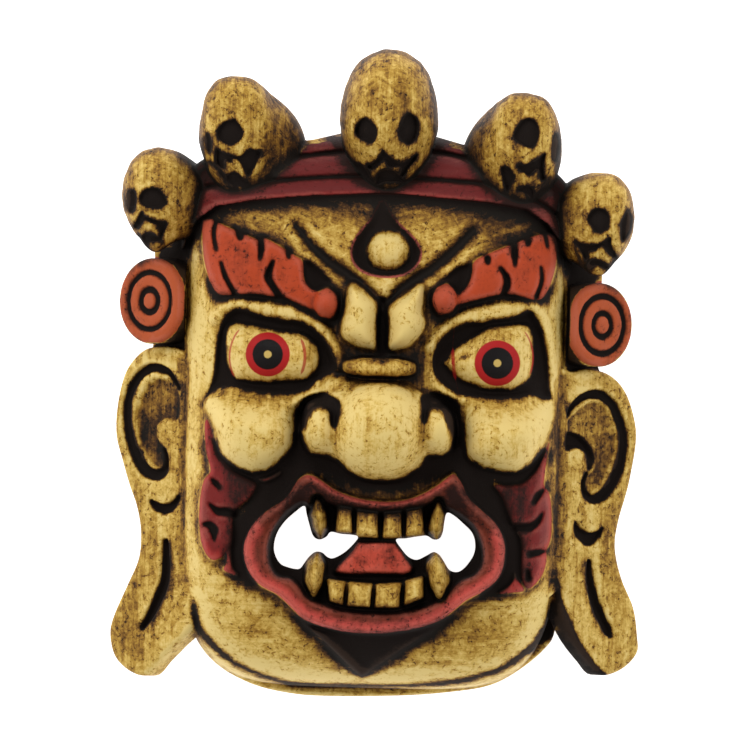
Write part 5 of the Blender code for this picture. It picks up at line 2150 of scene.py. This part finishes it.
@dataclass(frozen=True)
class PaintedWood:
    """Bone, red and black paint over dark stain, rubbed back by hand and waxed, with painted shade
    in its hollows.
    """

    bone: tuple[tuple[float, Colour], ...] = (
        (0.0, (0.80, 0.60, 0.215)), (0.18, (0.69, 0.468, 0.118)), (0.38, (0.46, 0.265, 0.043)),
        (0.56, (0.235, 0.112, 0.020)), (0.75, (0.070, 0.031, 0.011)), (1.0, (0.012, 0.009, 0.007)),
    )
    black: Colour = (0.0125, 0.0085, 0.0070)
    black_worn: Colour = (0.034, 0.021, 0.015)
    red_worn: Colour = (0.60, 0.19, 0.14)
    red_dark: Colour = (0.024, 0.009, 0.007)
    wood: tuple[tuple[float, Colour], ...] = (
        (0.0, (0.26, 0.145, 0.062)), (0.5, (0.17, 0.085, 0.035)), (1.0, (0.075, 0.036, 0.018)),
    )
    iris: Colour = (0.42, 0.018, 0.018)
    pupil: Colour = (0.010, 0.008, 0.008)
    spark: Colour = (0.60, 0.42, 0.12)
    eyes: tuple[tuple[float, float, float, float], ...] = (
        (-57.3, 8.6, 11.05, 7.6), (57.4, 7.4, 11.4, 7.9),
    )
    veins: tuple[tuple[Side, float, float, float, float, float, float], ...] = (
        (Side.LEFT, -54.8, 7.4, 21.6, 0.8, -3.4, 21.1),
        (Side.RIGHT, -59.8, 7.5, 21.1, 1.4, -0.8, 16.9),
        (Side.LEFT, 112.6, 15.2, 77.6, 1.6, -1.0, 13.7),
        (Side.RIGHT, 53.1, 10.1, 22.1, 0.7, 1.5, 24.1),
    )
    brushed: tuple[Colour, Colour] = ((1.0, 0.08, 0.15), (0.10, 1.0, 0.15))
    slant: float = 0.3

    def build(self) -> bpy.types.Material:
        """Makes the material.

        Returns:
            The material.
        """
        s = Shader("painted_carved_wood")
        place = s.stretched(s.node("ShaderNodeTexCoord", output="Object"), (1 / MM,) * 3)
        axes = s.node("ShaderNodeSeparateXYZ", {}, {0: place})
        x, y, z = (Wire(s, axes.socket.node.outputs[i]) for i in range(3))
        level = s.attribute("level")
        across = x.math("ABSOLUTE") * y.step(20.0, 40.0) * self.slant
        sheared = s.node("ShaderNodeCombineXYZ", {}, {"X": x, "Y": y - across, "Z": z})
        fine, broad = (
            [
                s.noise(s.stretched(one, way), size, detail, rough)
                for one, way in zip((place, sheared), self.brushed)
            ]
            for size, detail, rough in ((0.9, 3.0, 0.6), (4.2, 5.0, 0.62))
        )
        streak, smear = (
            (one[0] + (one[1] - one[0]) * level - 0.5) * 2.0 for one in (fine, broad)
        )
        speck = (s.noise(place, size=1.1, detail=4.0, rough=0.7) - 0.5) * 2.0
        blotch = (s.noise(place, size=8.0, detail=5.0, rough=0.62, warp=1.6) - 0.5) * 2.0
        mottle = (s.noise(place, size=4.0, detail=3.0, rough=0.55, warp=1.2) - 0.5) * 2.0
        spots = s.noise(place, size=1.8, detail=2.0, rough=0.6, warp=0.6)
        spots = (spots + blotch * 0.26).step(0.59, 0.70)
        black, red, wash = (s.attribute(name) for name in ("black_mm", "red_mm", "wash"))
        near, pit, dip = (s.attribute(name) for name in ("near", "pit", "dip"))
        tint, bare = s.attribute("tint", "Color"), s.attribute("bare")

        # Darker in hollows and next to walls, by pit and dip: partly stain, partly painted shade.
        hollow_stain_and_shade = pit.at_least(-0.7).at_most(1.0) * 0.20 + dip.at_least(-2.5).at_most(3.5) * 0.05
        rub = streak * 0.20 + smear * 0.42 + speck * 0.18 + blotch * 0.36 + mottle * 0.30
        feather = near * (near * 0.75 + 0.06) * (1.0 + smear * 1.4 + speck * 0.5).at_least(0.2)
        dark = wash + feather + hollow_stain_and_shade + rub + spots * 0.28
        colour = s.ramp(dark.at_least(0.0).at_most(1.0), self.bone)

        # The reds darken with the same hollow stain and painted shade, as well as with stain and
        # rubbing.
        deep = near * near * 0.45 + hollow_stain_and_shade * 1.3 + rub * 0.9 + (wash - 0.17) * 1.2 + spots * 0.3
        wear = (smear * 0.8 + speck * 0.5 - pit * 0.9).step(0.30, 1.3)
        paint = s.mix(wear * 0.4, tint, s.mix(0.5, tint, self.red_worn))
        paint = s.mix((deep + 0.10).step(0.05, 0.95), paint, self.red_dark)
        edge = speck * 0.20 + mottle * 0.30
        colour = s.mix((red + edge * 0.7).step(0.25, -0.25), colour, paint)

        scuff = (smear + speck * 0.7 - pit * 1.2 - dip * 0.1).step(0.25, 1.1)
        colour = s.mix(
            (black + edge).step(0.30, -0.30), colour, s.mix(scuff, self.black, self.black_worn)
        )
        colour = self.add_eyes(s, (x, y, z), colour, speck)

        grain = s.noise(s.stretched(place, (1.0, 0.06, 1.0)), size=2.4, detail=5.0, rough=0.65)
        # The bare wood is darker in hollows too, by pit: partly stain, partly painted shade.
        plain = s.ramp((grain * 0.7 + blotch * 0.2 + 0.2 + pit * 0.2).at_most(1.0), self.wood)
        colour = s.mix(bare, colour, plain)

        rough = 0.44 + speck * 0.12 + dark.at_least(0.0).at_most(1.0) * 0.14 + near * near * 0.28
        height = streak * 0.06 + speck * 0.06 + smear * 0.05 - spots * 0.08
        bump = s.node(
            "ShaderNodeBump", {}, {"Strength": 0.7, "Distance": 1.0 * MM, "Height": height}
        )
        surface = s.node(
            "ShaderNodeBsdfPrincipled", {},
            {
                "Base Color": colour, "Roughness": rough.at_least(0.25).at_most(0.9),
                "Normal": bump, "Specular IOR Level": 0.09,
            },
        )
        s.node("ShaderNodeOutputMaterial", {}, {"Surface": surface})
        return s.material

    def add_eyes(
        self, s: Shader, axes: tuple[Wire, Wire, Wire], colour: Wire, speck: Wire
    ) -> Wire:
        """Paints the irises, the pupils, their sparks and the veins.

        Args:
            s: the shader.
            axes: where each point is, in millimetres.
            colour: the paint under them.
            speck: fine noise, which roughens their edges.

        Returns:
            The colour with the eyes painted.
        """
        x, y, z = axes
        behind = (z - 60.0).step(0.0, -2.0) * 50.0

        def away(at_x: float, at_y: float) -> Wire:
            """How far each point is from a centre."""
            return ((x - at_x) * (x - at_x) + (y - at_y) * (y - at_y)).power(0.5)

        for side, at_x, at_y, radius, width, low, high in self.veins:
            line = (away(at_x, at_y) - radius).math("ABSOLUTE") + behind
            line = line + (y - high).step(-2.0, 1.5) + (low - y).step(-2.0, 1.5)
            half = (x - self.eyes[at_x > 0][0]).step(0.0, 1.0)
            if side is Side.LEFT:
                half = 1.0 - half
            shown = (line + speck * 0.25).step(width / 2 + 0.35, width / 2 - 0.25) * half
            colour = s.mix(shown * 0.8, colour, self.iris)
        for at_x, at_y, outer, inner in self.eyes:
            far = away(at_x, at_y) + speck * 0.25 + behind
            for radius, paint in ((outer, self.iris), (inner, self.pupil), (1.9, self.spark)):
                colour = s.mix((far - radius).step(0.3, -0.3), colour, paint)
        return colour


@dataclass(frozen=True)
class PaleFloor:
    """A plain matt floor, lit a little from within so that it stays pale under the mask."""

    colour: Colour = (0.93, 0.93, 0.93)
    glow: float = 1.0

    def build(self) -> bpy.types.Material:
        """Makes the material.

        Returns:
            The material.
        """
        s = Shader("pale_floor")
        surface = s.node(
            "ShaderNodeBsdfPrincipled", {},
            {
                "Base Color": (*self.colour, 1.0), "Roughness": 0.8, "Specular IOR Level": 0.2,
                "Emission Color": (1.0, 1.0, 1.0, 1.0), "Emission Strength": self.glow,
            },
        )
        s.node("ShaderNodeOutputMaterial", {}, {"Surface": surface})
        return s.material


@dataclass
class Studio:
    """The floor, the soft lights and the camera that looks straight down."""

    centre: tuple[float, float] = (-3.5, -0.2)
    turn: float = 1.6
    seen: float = 375.0
    focus: float = 62.0
    away: float = 9000.0
    floor_side: float = 12000.0
    sky: Colour = (1.0, 1.0, 1.0)
    sky_strength: float = 0.40
    lights: tuple[tuple[str, Colour, float, float], ...] = (
        ("crown_softbox", (-500.0, 2000.0, 2000.0), 1300.0, 26.0),
        ("left_softbox", (-2000.0, 300.0, 1900.0), 1300.0, 20.0),
        ("right_softbox", (2000.0, 100.0, 1900.0), 1300.0, 17.0),
    )

    def build(self) -> None:
        """Sets the stage."""
        corner = self.floor_side / 2
        points = np.array([(x, y, -0.4) for x, y in ((-1, -1), (1, -1), (1, 1), (-1, 1))], float)
        points[:, :2] *= corner
        floor = mesh_object("studio_floor", points * MM, np.array([[0, 1, 2, 3]]))
        floor.data.materials.append(PaleFloor().build())
        floor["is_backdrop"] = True
        for name, place, size, power in self.lights:
            lamp = bpy.data.lights.new(name, "AREA")
            lamp.shape, lamp.size, lamp.energy = "SQUARE", size * MM, power
            holder = bpy.data.objects.new(name, lamp)
            holder.location = Vector(place) * MM
            holder.rotation_euler = holder.location.to_track_quat("Z", "Y").to_euler()
            holder.visible_camera = False
            bpy.context.scene.collection.objects.link(holder)
        world = bpy.data.worlds.new("studio")
        world.use_nodes = True
        sky = world.node_tree.nodes["Background"]
        sky.inputs["Color"].default_value = (*self.sky, 1.0)
        sky.inputs["Strength"].default_value = self.sky_strength
        bpy.context.scene.world = world
        bpy.context.scene.view_settings.view_transform = "Standard"
        self.add_camera()

    def add_camera(self) -> None:
        """Adds the camera."""
        lens = bpy.data.cameras.new("camera")
        lens.sensor_width = 36.0
        lens.lens = lens.sensor_width * self.away / self.seen
        lens.clip_end = 100.0
        camera = bpy.data.objects.new("camera", lens)
        camera.location = Vector((*self.centre, self.focus + self.away)) * MM
        camera.rotation_euler = Euler((0, 0, math.radians(self.turn)))
        bpy.context.scene.collection.objects.link(camera)
        bpy.context.scene.camera = camera


@dataclass
class Mask:
    """The whole mask: one block of wood, carved, painted and dressed."""

    head: HeadBlock = field(default_factory=HeadBlock)
    band: ForeheadBand = field(default_factory=ForeheadBand)
    forehead: Forehead = field(default_factory=Forehead)
    nose: Nose = field(default_factory=Nose)
    mouth: Mouth = field(default_factory=Mouth)
    chin: Chin = field(default_factory=Chin)
    fine: float = 1.3
    broad: float = 5.0
    back: tuple[float, float] = (-0.12, -0.30)

    def build(self, finish: bpy.types.Material) -> bpy.types.Object:
        """Carves and paints the mask.

        Args:
            finish: the material of the whole piece.

        Returns:
            The finished piece.
        """
        panel = Panel(self.head)
        self.carve_face(panel)
        LOG.info("face carved")
        block = Block(panel)
        self.head.carve(block)
        self.band.carve(block, self.head)
        for solid in (*SKULLS, *EARS, *DISCS):
            solid.carve(block)
        self.head.hollow(block, GougeMarks(self.head).distances(panel, finish))
        self.mouth.pierce(block)
        block.find_tops()
        LOG.info("block carved")
        self.paint_face(panel)
        piece = block.mesh("bhairab_mask_carving")
        LOG.info("meshed: %d faces", len(piece.data.polygons))
        self.dress(piece, panel)
        piece.data.materials.clear()
        piece.data.materials.append(finish)
        piece.data.shade_smooth()
        return piece

    def carve_face(self, panel: Panel) -> None:
        """Carves the front of the head, from its lowest relief to its highest.

        Args:
            panel: the front of the head.
        """
        for part in (*EYES, *CHEEKS, self.forehead, *BROWS, self.nose, self.chin, self.mouth):
            part.carve(panel)
        panel.lift = soften(panel.lift, 0.4, 1)

    def paint_face(self, panel: Panel) -> None:
        """Lays every paint on the panel, in the order of the work.

        Args:
            panel: the front of the head.
        """
        for part in (
            self.chin, self.forehead, self.band, *EYES, *CHEEKS, *BROWS, self.nose, self.mouth,
            *EARS, *DISCS, *SKULLS,
        ):
            part.paint(panel)
        # Heavier or lighter patches of brown, with painted shade round the edges of the eyes.
        for at_x, at_y, wide, tall, amount in STAIN_AND_SHADE_PATCHES:
            away = ((panel.across - at_x) / wide) ** 2 + ((panel.along - at_y) / tall) ** 2
            panel.wash += amount * np.exp(-away).astype(np.float32)
        panel.fade, panel.level, panel.wash = (
            soften(one, 1.2 / STEP) for one in (panel.fade, panel.level, panel.wash)
        )

    def dress(self, piece: bpy.types.Object, panel: Panel) -> None:
        """Writes the paint on the piece's vertices, for its material to read.

        Args:
            piece: the mesh.
            panel: what is painted where, as seen from the front.
        """
        data = piece.data
        count = len(data.vertices)
        points, normals = np.empty(count * 3, np.float32), np.empty(count * 3, np.float32)
        data.vertices.foreach_get("co", points)
        data.vertex_normals.foreach_get("vector", normals)
        points, normals = points.reshape(-1, 3) / MM, normals.reshape(-1, 3)
        x, y = points[:, 0], points[:, 1]
        tops = panel.tops
        shown = (tops > 0).astype(np.float32)
        maps = {"black_mm": panel.black, "red_mm": panel.red, "wash": panel.wash}
        maps["near"] = unit(1 - np.maximum(panel.black, 0) / panel.fade)
        maps["level"] = panel.level
        # How far each column lies below the wood round it, over a fine and a broad reach: the
        # material darkens hollows by these, partly as stain, partly as painted shade.
        for name, reach in (("pit", self.fine), ("dip", self.broad)):
            share = np.maximum(soften(shown, reach / panel.step), 0.05)
            hollow = soften(tops, reach / panel.step) / share - tops
            maps[name] = np.where(hollow < 0, hollow, hollow * unit(2 * share - 1) ** 2)
            maps[name] *= shown
        for name, values in maps.items():
            write(data, name, panel.sample(values, x, y))
        low, high = self.back[1], self.back[0]
        bare = unit((high - normals[:, 2]) / (high - low))
        bare = np.maximum(bare, self.head.in_hollow(points))
        write(data, "bare", np.maximum(bare, points[:, 2] < 0.4))
        tint = np.ones((count, 4), np.float32)
        tint[:, :3] = panel.sample(panel.tint, x, y)
        layer = data.attributes.new("tint", "FLOAT_COLOR", "POINT")
        layer.data.foreach_set("color", tint.ravel())


def write(data: bpy.types.Mesh, name: str, values: Array) -> None:
    """Writes one number for each vertex of a mesh as an attribute."""
    layer = data.attributes.new(name, "FLOAT", "POINT")
    layer.data.foreach_set("value", np.asarray(values, np.float32))


def main() -> None:
    """Builds the mask and its stage, and reports on the piece."""
    logging.basicConfig(level=logging.INFO, format="%(name)s: %(message)s")
    piece = Mask().build(PaintedWood().build())
    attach(piece, "root")
    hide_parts("carved_mask")
    Studio().build()
    low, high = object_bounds()
    size = " x ".join(f"{(b - a) / MM:.1f}" for a, b in zip(low, high))
    LOG.info("%s: %d faces, %s mm", piece.name, len(piece.data.polygons), size)


if __name__ == "__main__":
    main()
